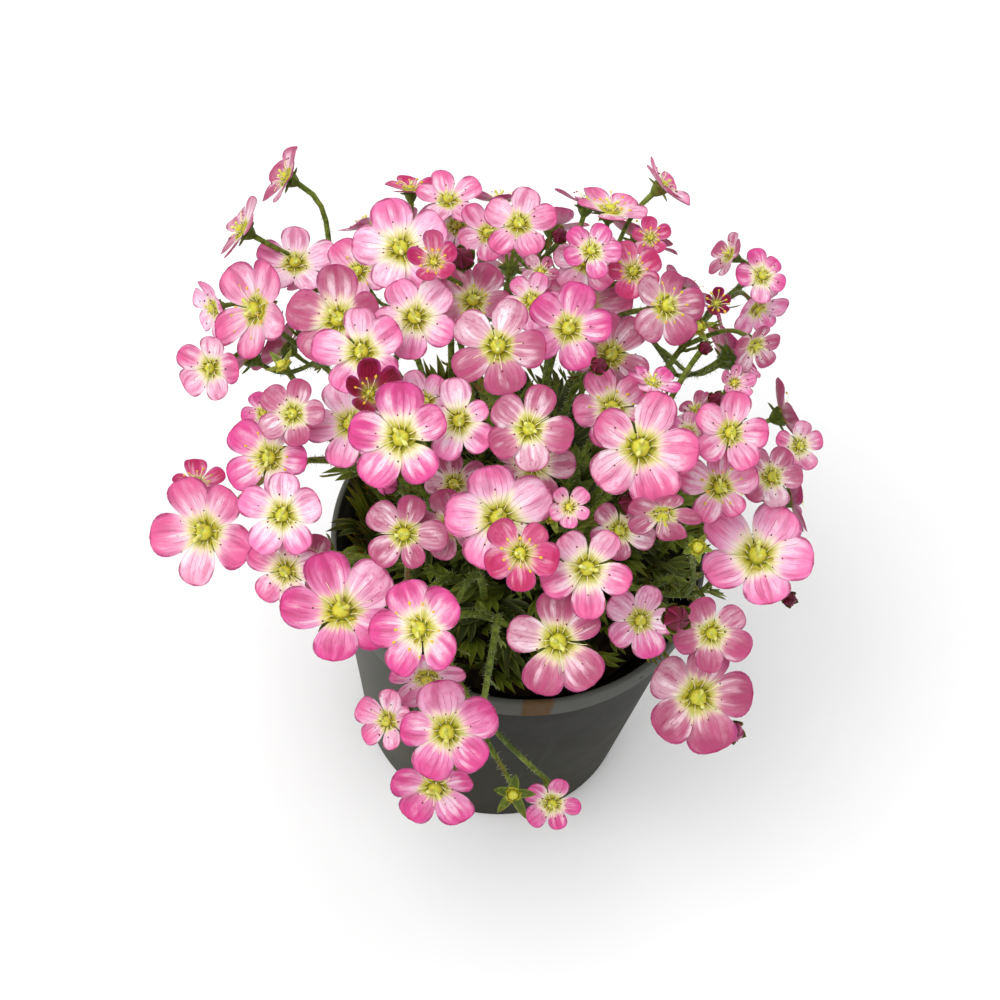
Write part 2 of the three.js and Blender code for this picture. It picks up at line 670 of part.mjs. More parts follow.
// A spray: its stem, which ends in one bloom, and a branch for each of the others, as one body
function sprayBody({ group, stem, branches, steps }, swell) {
  const bodies = branches.map((branch, i) => {
    const reach = branch.getSpacedPoints(i === 0 ? BRANCH.steps : BRANCH.steps + 1);
    const path = i === 0 ? [...stem.getSpacedPoints(steps), ...reach.slice(1)] : reach;
    const sides = i === 0 ? STEM.sides : BRANCH.sides;
    return stalkWithHead(group[i], path, sides, [i === 0 ? STEM.radius : STEM.tip, STEM.tip], swell);
  });
  return largest(join(bodies));
}

// Sprays that still cross one another are fused. Each set is a list of the sprays in it.
function fuseCrossing(bodies) {
  const sets = bodies.map((body, i) => ({ body, members: [i] }));
  for (let i = 0; i < sets.length; i++) {
    for (let j = i + 1; j < sets.length; j++) {
      if (sets[i].body.intersect(sets[j].body).numTri() === 0) continue;
      sets[i].body = largest(sets[i].body.add(sets[j].body));
      sets[i].members.push(...sets[j].members);
      sets.splice(j, 1);
      j = i;
    }
  }
  return sets;
}

// One leaf: a narrow base that widens to three pointed lobes, arched along its midrib.
// Its root, its heading round the pot, its climb and its length are given.
function leaf(root, heading, climb, length) {
  const ahead = bearing(heading, climb);
  const left = vec(-Math.sin(heading), Math.cos(heading), 0);
  const up = ahead.clone().cross(left);
  const place = (forward, aside, lift) => {
    const sag = -0.35 * forward * forward * length;
    const point = along(root, ahead, forward * length).addScaledVector(left, aside * length);
    return point.addScaledVector(up, lift).addScaledVector(vec(0, 0, 1), sag);
  };
  const side = [[0, 0.06], [0.5, 0.075], [0.82, 0.3], [0.7, 0.1]];
  const outline = [...side, [1, 0], ...side.map(([forward, aside]) => [forward, -aside]).reverse()];
  const half = MOUND.leafThick / 2;
  const rib = [[0.3, 0], [0.64, 0]];
  const points = outline.map(([forward, aside]) => place(forward, aside, 0));
  for (const lift of [half, -half]) {
    points.push(...rib.map(([forward, aside]) => place(forward, aside, lift)));
  }
  const faces = [];
  for (const [near, far, top] of [[9, 10, true], [11, 12, false]]) {
    const fan = [[near, 8, 0], [near, 0, 1], [near, 1, far], [near, far, 7], [near, 7, 8]];
    for (let i = 1; i < 7; i++) fan.push([far, i, i + 1]);
    faces.push(...fan.map(([a, b, c]) => (top ? [a, c, b] : [a, b, c])));
  }
  return shell(points, faces);
}

// How many points of the stems lie close to a leaf with this root, heading and climb
function leafMeets(root, heading, climb, length, stemPoints) {
  const reach = bearing(heading, climb);
  return [0.3, 0.6, 0.9].reduce((count, part) => {
    const point = along(root, reach, part * length);
    const near = 1.5 + 4 * part * part;
    return count + stemPoints.filter((stem) => stem.distanceToSquared(point) < near * near).length;
  }, 0);
}

// The leaf mound: a core that fills the pot's mouth, with lobed leaves standing out all over it.
// Each leaf takes the heading that brings it nearest to no stem.
function leafMound(stemPoints) {
  const floor = SOIL.top + GAP;
  const profile = [[0, floor], [MOUND.radius - 3, floor]];
  for (const part of [1, 0.8, 0.5, 0]) {
    profile.push([part * (MOUND.radius - 1), moundTop(part * MOUND.radius)]);
  }
  const leaves = [];
  for (let i = 0; i < MOUND.leaves; i++) {
    const part = Math.sqrt((i + 0.5) / MOUND.leaves);
    const angle = i * GOLDEN_ANGLE;
    const radius = part * (MOUND.radius - 3);
    const root = vec(radius * Math.cos(angle), radius * Math.sin(angle), moundTop(radius) - 2.5);
    const climb = turn(70 - 42 * part + 16 * (draw(i + 700) - 0.5));
    const length = MOUND.leafLength * (0.85 + 0.4 * draw(i + 800));
    const headings = MOUND.swings.map((swing) => angle + swing);
    const meets = headings.map((heading) => leafMeets(root, heading, climb, length, stemPoints));
    leaves.push(leaf(root, headings[meets.indexOf(Math.min(...meets))], climb, length));
  }
  return join([turned(profile, MOUND.sides), ...leaves]);
}

const blooms = placeBlooms();
const sprays = laySprays(blooms);
const sets = fuseCrossing(sprays.map((spray) => sprayBody(spray, 0)));
const stemPoints = sprays.flatMap(({ stem }) => stem.getPoints(40));
const room = sprays.map((spray) => sprayBody(spray, GAP));
const leaves = leafMound(stemPoints).subtract(wallSleeve());
const mound = largest(room.reduce((body, spray) => body.subtract(spray), leaves));

const plant = new THREE.Group();
plant.add(mesh("pot", pot(), potPlastic()));
plant.add(mesh("soil", soil(), compost()));
plant.add(mesh("leaf_mound", mound, leafGreen()));
sets.forEach(({ body }, i) => {
  plant.add(mesh(`spray_${String(i + 1).padStart(2, "0")}`, body, petalPink()));
});

export default plant;
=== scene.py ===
"""A mossy saxifrage in full bloom, in a round plastic plant pot.

Lengths are in millimetres until a mesh is made, with the pot's foot on z = 0 and its middle at the
origin. The blooms and stems are laid out by the same rule as the frame's solids.
"""

import functools
import math
from dataclasses import dataclass, replace

import bpy
import numpy as np
from bpy.props import FloatProperty, FloatVectorProperty, IntProperty, PointerProperty
from mathutils import Matrix


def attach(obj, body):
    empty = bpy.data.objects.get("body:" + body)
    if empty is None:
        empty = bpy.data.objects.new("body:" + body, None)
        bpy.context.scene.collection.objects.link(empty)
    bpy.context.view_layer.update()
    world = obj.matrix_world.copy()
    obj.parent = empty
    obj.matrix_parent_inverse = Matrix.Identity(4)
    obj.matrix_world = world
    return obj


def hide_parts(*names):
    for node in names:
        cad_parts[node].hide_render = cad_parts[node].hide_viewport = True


bl_info = {
    "name": "Potted mossy saxifrage",
    "version": (1, 0, 0),
    "blender": (4, 5, 0),
    "location": "View3D > Sidebar > Saxifrage",
    "description": "Petals, stamens, hairy stems, lobed leaves and pot of a mossy saxifrage",
    "category": "Object",
}

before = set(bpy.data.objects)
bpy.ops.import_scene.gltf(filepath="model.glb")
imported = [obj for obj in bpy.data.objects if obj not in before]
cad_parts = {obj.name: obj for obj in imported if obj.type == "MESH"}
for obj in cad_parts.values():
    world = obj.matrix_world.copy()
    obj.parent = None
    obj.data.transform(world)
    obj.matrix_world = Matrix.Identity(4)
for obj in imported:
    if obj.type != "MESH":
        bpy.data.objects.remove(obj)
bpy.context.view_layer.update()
MM = 0.001

# The sizes that the frame's solids are made from
POT = dict(height=81, rim=45, base=35, wall=1.4, floor=2.2, lip=6, step=1.3, round=0.7)
DRAIN = dict(count=6, radius=3.2, ring=21)
SOIL_TOP = 70
MOUND = dict(radius=40.4, edge=7, crown=30)
DOME = np.array([-5.0, 5.0, 88.0])
DOME_SIZE = np.array([70.0, 74.0, 72.0])
STEM = dict(radius=0.85, tip=0.6, foot=3)
PETAL_HALF = 0.5
CALYX_DEPTH = 3
GAP = 0.3

# The view that the blooms are placed by, in points of a picture of 1000 by 1000
VIEW = dict(pitch=55, roll=8, distance=419, focal=1751, middle=500, rim_x=519.7, rim_y=537)

# Every bloom and bud that faces the view: x and y of its middle in the picture, its width, the angle in
# the picture that one of its petals points at, in degrees up from the right, its tone, which way it
# faces as seen (right and up, where it isn't square on), how far it stands proud of the dome of blooms
# (negative where it lies behind others), its kind where it isn't open, and in millimetres how far its
# stem sways to the left or right where that shows
SEEN = [
    dict(x=287, y=178, wide=16, tone="dusky", face=(-0.8, 0.42)),
    dict(x=243, y=230, wide=17, petal=231, tone="dusky", face=(-0.8, 0.45)),
    dict(x=295, y=264, wide=19, petal=88, tone="pale", face=(0, 0.5)),
    dict(x=257, y=310, wide=25, petal=269, tone="mid", face=(-0.7, 0.1)),
    dict(x=214, y=308, wide=14, petal=95, tone="pale", face=(-0.8, -0.2), proud=-6),
    dict(x=211, y=368, wide=16, petal=76, tone="mid", face=(-0.4, -0.1)),
    dict(x=283, y=366, wide=8, tone="green", face=(-0.5, 0.6), kind="spent"),
    dict(x=339, y=320, wide=22, petal=92, tone="dusky"),
    dict(x=362, y=352, wide=20, petal=97, tone="pale"),
    dict(x=401, y=249, wide=22, petal=106, tone="pale"),
    dict(x=358, y=272, wide=17, petal=132, tone="mid", proud=-7),
    dict(x=415, y=318, wide=19, petal=118, tone="pale"),
    dict(x=370, y=394, wide=12, tone="crimson", face=(0.15, 0.3), kind="cup", proud=5),
    dict(x=401, y=438, wide=22, petal=95, tone="bright", proud=3),
    dict(x=351, y=424, wide=20, petal=257, tone="pale", proud=-6),
    dict(x=293, y=414, wide=15, petal=140, tone="dusky"),
    dict(x=264, y=413, wide=10, petal=116, tone="bright"),
    dict(x=270, y=458, wide=20, petal=72, tone="bright"),
    dict(x=206, y=532, wide=26, petal=47, tone="mid"),
    dict(x=197, y=484, wide=15, petal=98, tone="hot", face=(0, 0.7)),
    dict(x=283, y=515, wide=19, petal=18, tone="pale"),
    dict(x=286, y=571, wide=17, petal=148, tone="mid"),
    dict(x=313, y=563, wide=13, petal=69, tone="dusky", proud=-7),
    dict(x=341, y=612, wide=25, petal=114, tone="bright", face=(0, 0.4)),
    dict(x=421, y=629, wide=21, petal=102, tone="bright", face=(-0.45, 0)),
    dict(x=404, y=534, wide=18, petal=145, tone="dusky"),
    dict(x=499, y=518, wide=23, petal=99, tone="pale"),
    dict(x=459, y=421, wide=17, petal=241, tone="pale"),
    dict(x=425, y=402, wide=14, petal=124, tone="pale", proud=-6),
    dict(x=529, y=429, wide=18, petal=135, tone="dusky"),
    dict(x=533, y=465, wide=17, petal=0, tone="dusky", proud=-6),
    dict(x=520, y=553, wide=16, petal=128, tone="hot", proud=4),
    dict(x=587, y=568, wide=20, petal=123, tone="mid"),
    dict(x=558, y=641, wide=23, petal=96, tone="dusky"),
    dict(x=450, y=525, wide=15, petal=180, tone="dusky", proud=-7),
    dict(x=454, y=484, wide=15, petal=170, tone="dusky", proud=-7),
    dict(x=387, y=484, wide=7, tone="bright", kind="bud"),
    dict(x=371, y=465, wide=6, tone="bright", kind="bud", proud=-5),
    dict(x=552, y=515, wide=7, tone="red", kind="spent"),
    dict(x=569, y=507, wide=9, tone="pale", kind="cup"),
    dict(x=640, y=448, wide=25, petal=71, tone="mid"),
    dict(x=448, y=201, wide=16, petal=98, tone="mid", face=(0, 0.6)),
    dict(x=457, y=226, wide=15, petal=10, tone="pale", proud=-6),
    dict(x=519, y=224, wide=17, petal=80, tone="mid"),
    dict(x=488, y=234, wide=15, petal=198, tone="mid", proud=-6),
    dict(x=610, y=211, wide=18, petal=146, tone="mid", face=(0.2, 0.85)),
    dict(x=662, y=186, wide=15, petal=141, tone="mid", face=(0.72, 0.62)),
    dict(x=650, y=238, wide=10, petal=93, tone="hot"),
    dict(x=591, y=251, wide=13, petal=62, tone="bright", proud=3),
    dict(x=584, y=262, wide=17, petal=99, tone="mid", proud=-7),
    dict(x=434, y=262, wide=11, petal=95, tone="hot", kind="cup", proud=6),
    dict(x=463, y=259, wide=7, tone="crimson", kind="bud"),
    dict(x=473, y=301, wide=18, petal=130, tone="dusky", proud=-6),
    dict(x=498, y=347, wide=21, petal=69, tone="dusky", proud=2),
    dict(x=532, y=301, wide=15, petal=137, tone="pale", proud=-6),
    dict(x=568, y=329, wide=19, petal=73, tone="bright"),
    dict(x=584, y=306, wide=21, petal=80, tone="mid", proud=-7),
    dict(x=611, y=355, wide=19, petal=40, tone="dusky", proud=-7),
    dict(x=633, y=272, wide=14, petal=34, tone="hot"),
    dict(x=665, y=306, wide=19, petal=80, tone="dusky", face=(0.5, 0.1)),
    dict(x=716, y=304, wide=7, tone="crimson", kind="cup"),
    dict(x=762, y=276, wide=14, petal=114, tone="bright"),
    dict(x=730, y=255, wide=12, petal=140, tone="dusky", face=(-0.8, 0.4)),
    dict(x=757, y=308, wide=15, tone="pale", face=(0.5, -0.6)),
    dict(x=755, y=345, wide=13, tone="dusky", face=(0.5, -0.5)),
    dict(x=734, y=383, wide=8, tone="pale", kind="cup"),
    dict(x=697, y=327, wide=7, tone="green", kind="spent"),
    dict(x=705, y=348, wide=4, tone="crimson", kind="bud"),
    dict(x=716, y=400, wide=5, tone="crimson", kind="bud"),
    dict(x=695, y=410, wide=10, tone="dusky", face=(-0.6, 0.6), proud=-6),
    dict(x=730, y=433, wide=17, petal=77, tone="mid"),
    dict(x=688, y=432, wide=10, petal=85, tone="bright"),
    dict(x=799, y=446, wide=13, petal=86, tone="mid"),
    dict(x=719, y=487, wide=19, petal=90, tone="mid"),
    dict(x=771, y=477, wide=15, petal=70, tone="dusky"),
    dict(x=757, y=557, wide=26, petal=60, tone="pale", face=(0.1, 0.4)),
    dict(x=640, y=620, wide=16, petal=75, tone="bright"),
    dict(x=711, y=633, wide=17, petal=114, tone="dusky"),
    dict(x=697, y=696, wide=25, petal=73, tone="dusky"),
    dict(x=676, y=618, wide=8, tone="crimson", kind="bud", proud=4),
    dict(x=630, y=503, wide=7, tone="crimson", kind="bud"),
    dict(x=619, y=530, wide=15, petal=126, tone="dusky", proud=-6),
    dict(x=663, y=513, wide=16, petal=300, tone="dusky", face=(0, -0.8)),
    dict(x=697, y=547, wide=7, tone="green", kind="spent"),
    dict(x=789, y=599, wide=5, tone="crimson", kind="bud"),
    dict(x=599, y=366, wide=5, tone="crimson", kind="bud", proud=2),
    dict(x=652, y=383, wide=12, tone="bright", face=(0.3, 0.8)),
    dict(x=612, y=408, wide=19, petal=112, tone="mid", proud=-8),
    dict(x=447, y=731, wide=22, petal=99, tone="bright"),
    dict(x=427, y=677, wide=18, petal=224, tone="pale", face=(0, -0.7), proud=-5),
    dict(x=388, y=721, wide=15, petal=140, tone="mid", face=(-0.5, -0.1)),
    dict(x=435, y=786, wide=21, petal=90, tone="bright", face=(0, -0.6)),
    dict(x=552, y=803, wide=15, petal=141, tone="bright", sway=-30),
    dict(x=513, y=794, wide=10, tone="green", kind="spent"),
    dict(x=411, y=190, wide=13, tone="hot", face=(0, 0.9), proud=-5),
    dict(x=560, y=236, wide=5, tone="crimson", kind="bud"),
    dict(x=541, y=272, wide=9, tone="dusky", proud=-6),
    dict(x=733, y=731, wide=7, tone="dusky", kind="bud"),
]

# The far side, which the view doesn't reach, is filled by an even spiral of sites over the dome
FAR = dict(sites=150, wide=19, spread=6, lowest=84, apart=13.5, turned=-0.12, lift=0.25)
FAR_TONES = ("mid", "pale", "bright", "dusky", "mid", "bright", "pale")
GOLDEN_ANGLE = math.pi * (3 - math.sqrt(5))

# How far a bloom slides along its line of sight to find a place that is clear, in the order tried
SLIDES = (0, -1.5, 1.5, -3, 3, -4.5, 4.5, -6, 6, -7.5, -9, -10.5, -12, -13.5, -15, -18, -21)
CLEAR = 0.75

# Which blooms share a stem, and the shapes of stem that are tried until one is clear of every bloom
SPRAY = dict(most=3, reach=27, step=0.11)
FORK_DEPTHS = (11, 15, 8, 20, 26)
SWAYS = (0, 6, -6, 12, -12, 18)

# A stem hangs if its fork is no higher above the rim than this and no further inside it. Its fork is
# kept clear of the pot, and it climbs and leans out before it droops.
HANGING = dict(above=16, inside=6, clear=8, droop=2.4, climb=46, lean=8, pull=34)
# The rest rise straight and reach their fork along its face, which is bent upwards
UPRIGHT = dict(lift=0.8, climb=0.4, pull=0.35)
BRANCH = dict(pull=0.42, follow=0.5)

# How stems are tested: the spacing of points on them, the band that holds the pot's wall, and how near
# to a head or to another stem is a crossing, with how much each kind of crossing counts
TEST = dict(spacing=1.5, above=2, under=4, wall=3, head=0.35, stem=2)
WEIGHT = dict(wall=5, own=0.5, other=1, stem=0.5)

# How much a bloom turns out of the dome, against 1 towards the eye
OUTWARD_PULL = 0.45
ROOTS = dict(sites=78, radius=34, pull=0.45)

# How far the dishes of blooms rise at their rim, as a part of their radius
CUPS = dict(cup=0.9, spent=0.3, bud=0)
OPEN_CUP = dict(least=0.14, more=0.2)

# The rows of each kind of blade, the points across its top, and the ring that its two sides make
PETAL = dict(rows=9, across=7, ring=12)
SEPAL = dict(rows=5, across=5, ring=8)
LOBE = dict(rows=4, across=5, ring=8)

# The cushion: how far inside its edge the outermost rosettes stand, how deep they are rooted, past
# which part of the radius they spill, how steep their leaves start and how much flatter the last of
# them lie, in degrees, how they lean out, and how clear of the edge their tips stay
CUSHION = dict(inset=4.5, rooted=3, spilling=0.7, steep=82, flatten=60, lean=0.5, clear=1.5)
# Its core: how far inside the edge and below the leaves' feet it lies, and how rough it is
CORE = dict(inset=1.2, sunk=4.5, rough=1.1)

# The widest radii that leaves keep to below the lip and inside it, up to a little above the rim
INSIDE = dict(wall=41.2, lip=42.6, above=1.5)
# Where leaves spill over the rim: headings round the pot, in degrees, how high they are lifted, over
# which radii, and how they sink again past another
SPILL = dict(first=105, last=232, rise=6.5, start=35, band=6.5, past=49, sink=0.3)

# Loose grains on the compost: how many, the ring that they lie in, how high and how large they are
GRAINS = dict(count=700, inner=34, margin=1.2, rise=0.7, small=0.3, large=1.1)

# The brown smear on the lip, in points of the picture
SMEAR = dict(x=536, y=704)

# Lamps: name, heading and climb in degrees, distance, size, and share of the large lamp's power
LAMPS = (
    ("key", 215, 58, 0.9, 0.7, 1.0),
    ("fill", 300, 35, 1.1, 0.9, 0.35),
    ("back", 70, 50, 1.0, 0.8, 0.5),
)

UP = np.array([0.0, 0.0, 1.0])


def unit(vectors):
    """Vectors divided by their lengths."""
    return vectors / np.linalg.norm(vectors, axis=-1, keepdims=True)


def dot(one, other):
    """The sum of the products of two vectors' parts."""
    return np.sum(one * other, axis=-1)


def turns(count):
    """Angles that share out a full turn."""
    return np.arange(count) * 2 * math.pi / count


def round_axis(radius, angle, height):
    """Points at a radius, an angle and a height about the pot's axis."""
    return np.stack(np.broadcast_arrays(radius * np.cos(angle), radius * np.sin(angle), height), -1)


def draw(number):
    """A steady draw between 0 and 1 for each number: the broken part of a tall, fast sine wave."""
    wave = np.sin(np.asarray(number, float) * 12.9898) * 43758.5453
    return wave - np.floor(wave)


def view_axes():
    """Forward, right and up of the view, which looks down by its pitch and is rolled about its line."""
    pitch, roll = math.radians(VIEW["pitch"]), math.radians(VIEW["roll"])
    forward = np.array([0, math.cos(pitch), -math.sin(pitch)])
    right = np.array([1.0, 0.0, 0.0])
    up = np.cross(right, forward)
    across = right * math.cos(roll) + up * math.sin(roll)
    above = -right * math.sin(roll) + up * math.cos(roll)
    return forward, across, above


FORWARD, ACROSS, ABOVE = view_axes()


def sight_line(x, y):
    """Direction of the line of sight through a point of the picture."""
    aside, rise = (x - VIEW["middle"]) / VIEW["focal"], (VIEW["middle"] - y) / VIEW["focal"]
    return unit(FORWARD + ACROSS * aside + ABOVE * rise)


EYE = UP * POT["height"] - sight_line(VIEW["rim_x"], VIEW["rim_y"]) * VIEW["distance"]


@dataclass
class Head:
    """A bloom, bud or spent calyx. Its cup is how much its rim rises, as a part of its radius."""

    centre: np.ndarray
    face: np.ndarray
    across: np.ndarray
    ahead: np.ndarray
    slide: np.ndarray
    radius: float
    cup: float
    kind: str
    tone: str
    number: int


@dataclass
class Spray:
    """A stem and its branches, as cubic curves of four points, with a head at each branch's end."""

    heads: list
    stem: np.ndarray
    branches: list


def meet_dome(line, proud):
    """Where a line of sight meets the dome grown by some millimetres, or passes nearest to it."""
    size = DOME_SIZE + proud
    start, toward = (EYE - DOME) / size, line / size
    square, half = dot(toward, toward), dot(start, toward)
    inside = half * half - square * (dot(start, start) - 1)
    return EYE + line * (-half - math.sqrt(max(0, inside))) / square


def outward(point):
    """Square to the dome at a point: the way from its middle, divided twice by the dome's sizes."""
    return unit((point - DOME) / DOME_SIZE / DOME_SIZE)


def facing(entry, centre, line):
    """Which way a bloom faces: as measured, or at the eye and a little out of the dome."""
    if "face" not in entry:
        return unit(OUTWARD_PULL * outward(centre) - line)
    right, rise = entry["face"]
    square = math.sqrt(1 - right * right - rise * rise)
    return unit(ACROSS * right + ABOVE * rise - line * square)


def drawn_petal(face, number):
    """The direction of one petal, in the plane of the bloom that faces this way, by a steady draw."""
    side = unit(np.cross(UP, face))
    twist = math.radians(72 * draw(number))
    return side * math.cos(twist) + np.cross(face, side) * math.sin(twist)


def seen_petal(degrees, face, line):
    """The direction in that plane that a line of sight shows at an angle of the picture."""
    angle = math.radians(degrees)
    seen = ACROSS * math.cos(angle) + ABOVE * math.sin(angle)
    return unit(seen - line * (dot(seen, face) / dot(line, face)))


def describe(centre, face, petal, wide, kind, tone, slide, number):
    """A head, with how deep its dish is by a steady draw."""
    cup = CUPS.get(kind, OPEN_CUP["least"] + OPEN_CUP["more"] * float(draw(number + 200)))
    return Head(centre, face, petal, np.cross(face, petal), slide, wide / 2, cup, kind, tone, number)


def seen_heads():
    """The heads that face the view, each where its line of sight meets the dome."""
    heads = []
    for number, entry in enumerate(SEEN):
        line = sight_line(entry["x"], entry["y"])
        centre = meet_dome(line, entry.get("proud", 0))
        face = facing(entry, centre, line)
        kind = entry.get("kind", "open")
        known = "petal" in entry
        petal = seen_petal(entry["petal"], face, line) if known else drawn_petal(face, number)
        heads.append(describe(centre, face, petal, entry["wide"], kind, entry["tone"], line, number))
    return heads


def far_heads(seen):
    """Heads on the far side: sites a golden angle apart and evenly spaced in height, where there's room."""
    found = []
    for i in range(FAR["sites"]):
        height = 1 - (2 * i + 1) / FAR["sites"]
        ring = math.sqrt(1 - height * height)
        site = np.array([ring * math.cos(i * GOLDEN_ANGLE), ring * math.sin(i * GOLDEN_ANGLE), height])
        centre = site * DOME_SIZE + DOME
        out = outward(centre)
        taken = [np.linalg.norm(head.centre - centre) <= FAR["apart"] for head in seen + found]
        if dot(out, FORWARD) <= FAR["turned"] or centre[2] <= FAR["lowest"] or any(taken):
            continue
        wide = FAR["wide"] + FAR["spread"] * (float(draw(i + 400)) - 0.5)
        tone = FAR_TONES[len(found) % len(FAR_TONES)]
        number = len(seen) + len(found)
        face = unit(out + FAR["lift"] * UP)
        found.append(describe(centre, face, drawn_petal(face, number), wide, "open", tone, -out, number))
    return found


def probes(head):
    """Points that stand for a head: four rings of its dish, and its calyx."""
    ring = np.repeat([0.25, 0.5, 0.75, 1.0], 20)
    angle = np.tile(np.arange(20) * math.pi / 10, 4)
    reach = ring * head.radius
    points = head.centre + (reach * np.cos(angle))[:, None] * head.across
    points = points + (reach * np.sin(angle))[:, None] * head.ahead
    points = points + (head.cup * reach * ring)[:, None] * head.face
    return np.vstack([head.centre - CALYX_DEPTH * head.face, points])


def touches(points, head, margin):
    """Which points lie within a margin of a head's dish, or of the ball round a bud."""
    away = points - head.centre
    rise = away @ head.face
    reach = np.sqrt(np.maximum(0, dot(away, away) - rise * rise))
    near = reach <= head.radius + margin
    if head.kind == "bud":
        return near & (np.abs(rise) < head.radius + margin)
    return near & (np.abs(rise - head.cup * reach * reach / head.radius) < PETAL_HALF + margin)


def clash(one, other):
    """Whether either of two heads has a point too near to the other's dish."""
    if np.linalg.norm(one.centre - other.centre) > 1.3 * (one.radius + other.radius) + 1:
        return False
    return bool(touches(probes(one), other, CLEAR).any() or touches(probes(other), one, CLEAR).any())


def place_heads():
    """Every head slides along its line of sight, those in front first, until its petals are clear."""
    seen = seen_heads()
    order = sorted(seen, key=lambda head: (-SEEN[head.number].get("proud", 0), head.number))
    placed = []
    for head in order + far_heads(seen):
        trials = [replace(head, centre=head.centre - slide * head.slide) for slide in SLIDES]
        counts = [sum(clash(trial, other) for other in placed) for trial in trials]
        placed.append(trials[int(np.argmin(counts))])
    return sorted(placed, key=lambda head: head.number)


def gather(heads):
    """Heads that share a stem: each free head takes its nearest free neighbours."""
    free = list(heads)
    groups = []
    for first in heads:
        if all(first is not head for head in free):
            continue
        free = [head for head in free if head is not first]
        near = [(float(np.linalg.norm(first.centre - head.centre)), head) for head in free]
        mates = sorted((pair for pair in near if pair[0] < SPRAY["reach"]), key=lambda pair: pair[0])
        mates = [head for _, head in mates[: SPRAY["most"] - 1]]
        free = [head for head in free if all(head is not mate for mate in mates)]
        groups.append([first, *mates])
    return groups


def stalk_depth(head):
    """How far below a head's middle its stalk ends: under a bloom's calyx, or at a bud's foot."""
    return 0.75 * head.radius if head.kind == "bud" else min(CALYX_DEPTH, 0.7 * head.radius)


def calyx_base(head):
    """The point where a head's stalk ends, straight behind its middle."""
    return head.centre - stalk_depth(head) * head.face


def mound_top(radius):
    """Height of the mound's core, which falls off with the square of the distance from the axis."""
    part = radius / MOUND["radius"]
    return SOIL_TOP + GAP + MOUND["edge"] + (MOUND["crown"] - MOUND["edge"]) * (1 - part * part)


def root_sites(groups):
    """Each group takes the free site of a spiral in the mound that is nearest to under it."""
    number = np.arange(ROOTS["sites"])
    radius = ROOTS["radius"] * np.sqrt((number + 0.5) / ROOTS["sites"])
    angle = number * GOLDEN_ANGLE
    sites = round_axis(radius, angle, mound_top(radius) - STEM["foot"])
    free = np.ones(len(sites), bool)
    chosen = []
    for group in groups:
        under = np.mean([head.centre for head in group], axis=0) * ROOTS["pull"]
        away = np.hypot(sites[:, 0] - under[0], sites[:, 1] - under[1])
        best = int(np.argmin(np.where(free, away, np.inf)))
        free[best] = False
        chosen.append(sites[best])
    return chosen


def bezier(curve, part):
    """Points of a cubic curve of four control points, at parts of it from 0 to 1."""
    t = np.asarray(part, float)[..., None]
    s = 1 - t
    a, b, c, d = curve
    return s * s * s * a + 3 * s * s * t * b + 3 * s * t * t * c + t * t * t * d


def tangent(curve, part, step=0.0001):
    """The direction of a curve at a part of it, from two points close to either side."""
    return unit(bezier(curve, min(1, part + step)) - bezier(curve, max(0, part - step)))


def curve_length(curve):
    """The length of a curve, as the sum of 200 straight steps."""
    points = bezier(curve, np.linspace(0, 1, 201))
    return float(np.linalg.norm(np.diff(points, axis=0), axis=1).sum())


def spray_curves(group, root, fork_depth, sway):
    """The stem of one spray and its branches, for one depth of fork and one sway of the stem.

    The first head ends the stem itself, and the others leave it one after another below the fork.
    A fork out past the rim and low makes the stem arch over the rim and hang.
    """
    face = unit(np.mean([head.face for head in group], axis=0))
    fork = np.mean([calyx_base(head) for head in group], axis=0) - fork_depth * face
    out = np.array([fork[0], fork[1], 0])
    low = fork[2] < POT["height"] + HANGING["above"]
    hangs = low and np.linalg.norm(out) > POT["rim"] - HANGING["inside"]
    out = unit(out)
    if hangs:
        fork = fork + out * max(0, POT["rim"] + HANGING["clear"] - math.hypot(fork[0], fork[1]))
    aside = np.array([-out[1], out[0], 0]) * sway
    length = np.linalg.norm(fork - root)
    if hangs:
        end = unit(out - HANGING["droop"] * UP)
        leave = root + UP * HANGING["climb"] + out * HANGING["lean"] + aside
        arrive = fork - end * HANGING["pull"] + aside
    else:
        end = unit(face + UPRIGHT["lift"] * UP)
        leave = root + UP * (UPRIGHT["climb"] * length) + aside
        arrive = fork - end * (UPRIGHT["pull"] * length) + aside
    stem = np.array([root, leave, arrive, fork])
    branches = []
    for i, head in enumerate(group):
        part = 1 - SPRAY["step"] * i
        start = bezier(stem, part)
        base = calyx_base(head)
        reach = BRANCH["pull"] * np.linalg.norm(base - start)
        toward = unit(base - start)
        leaves = end if i == 0 else unit(toward + BRANCH["follow"] * tangent(stem, part))
        branches.append(np.array([start, start + reach * leaves, base - reach * head.face, base]))
    return Spray(group, stem, branches)


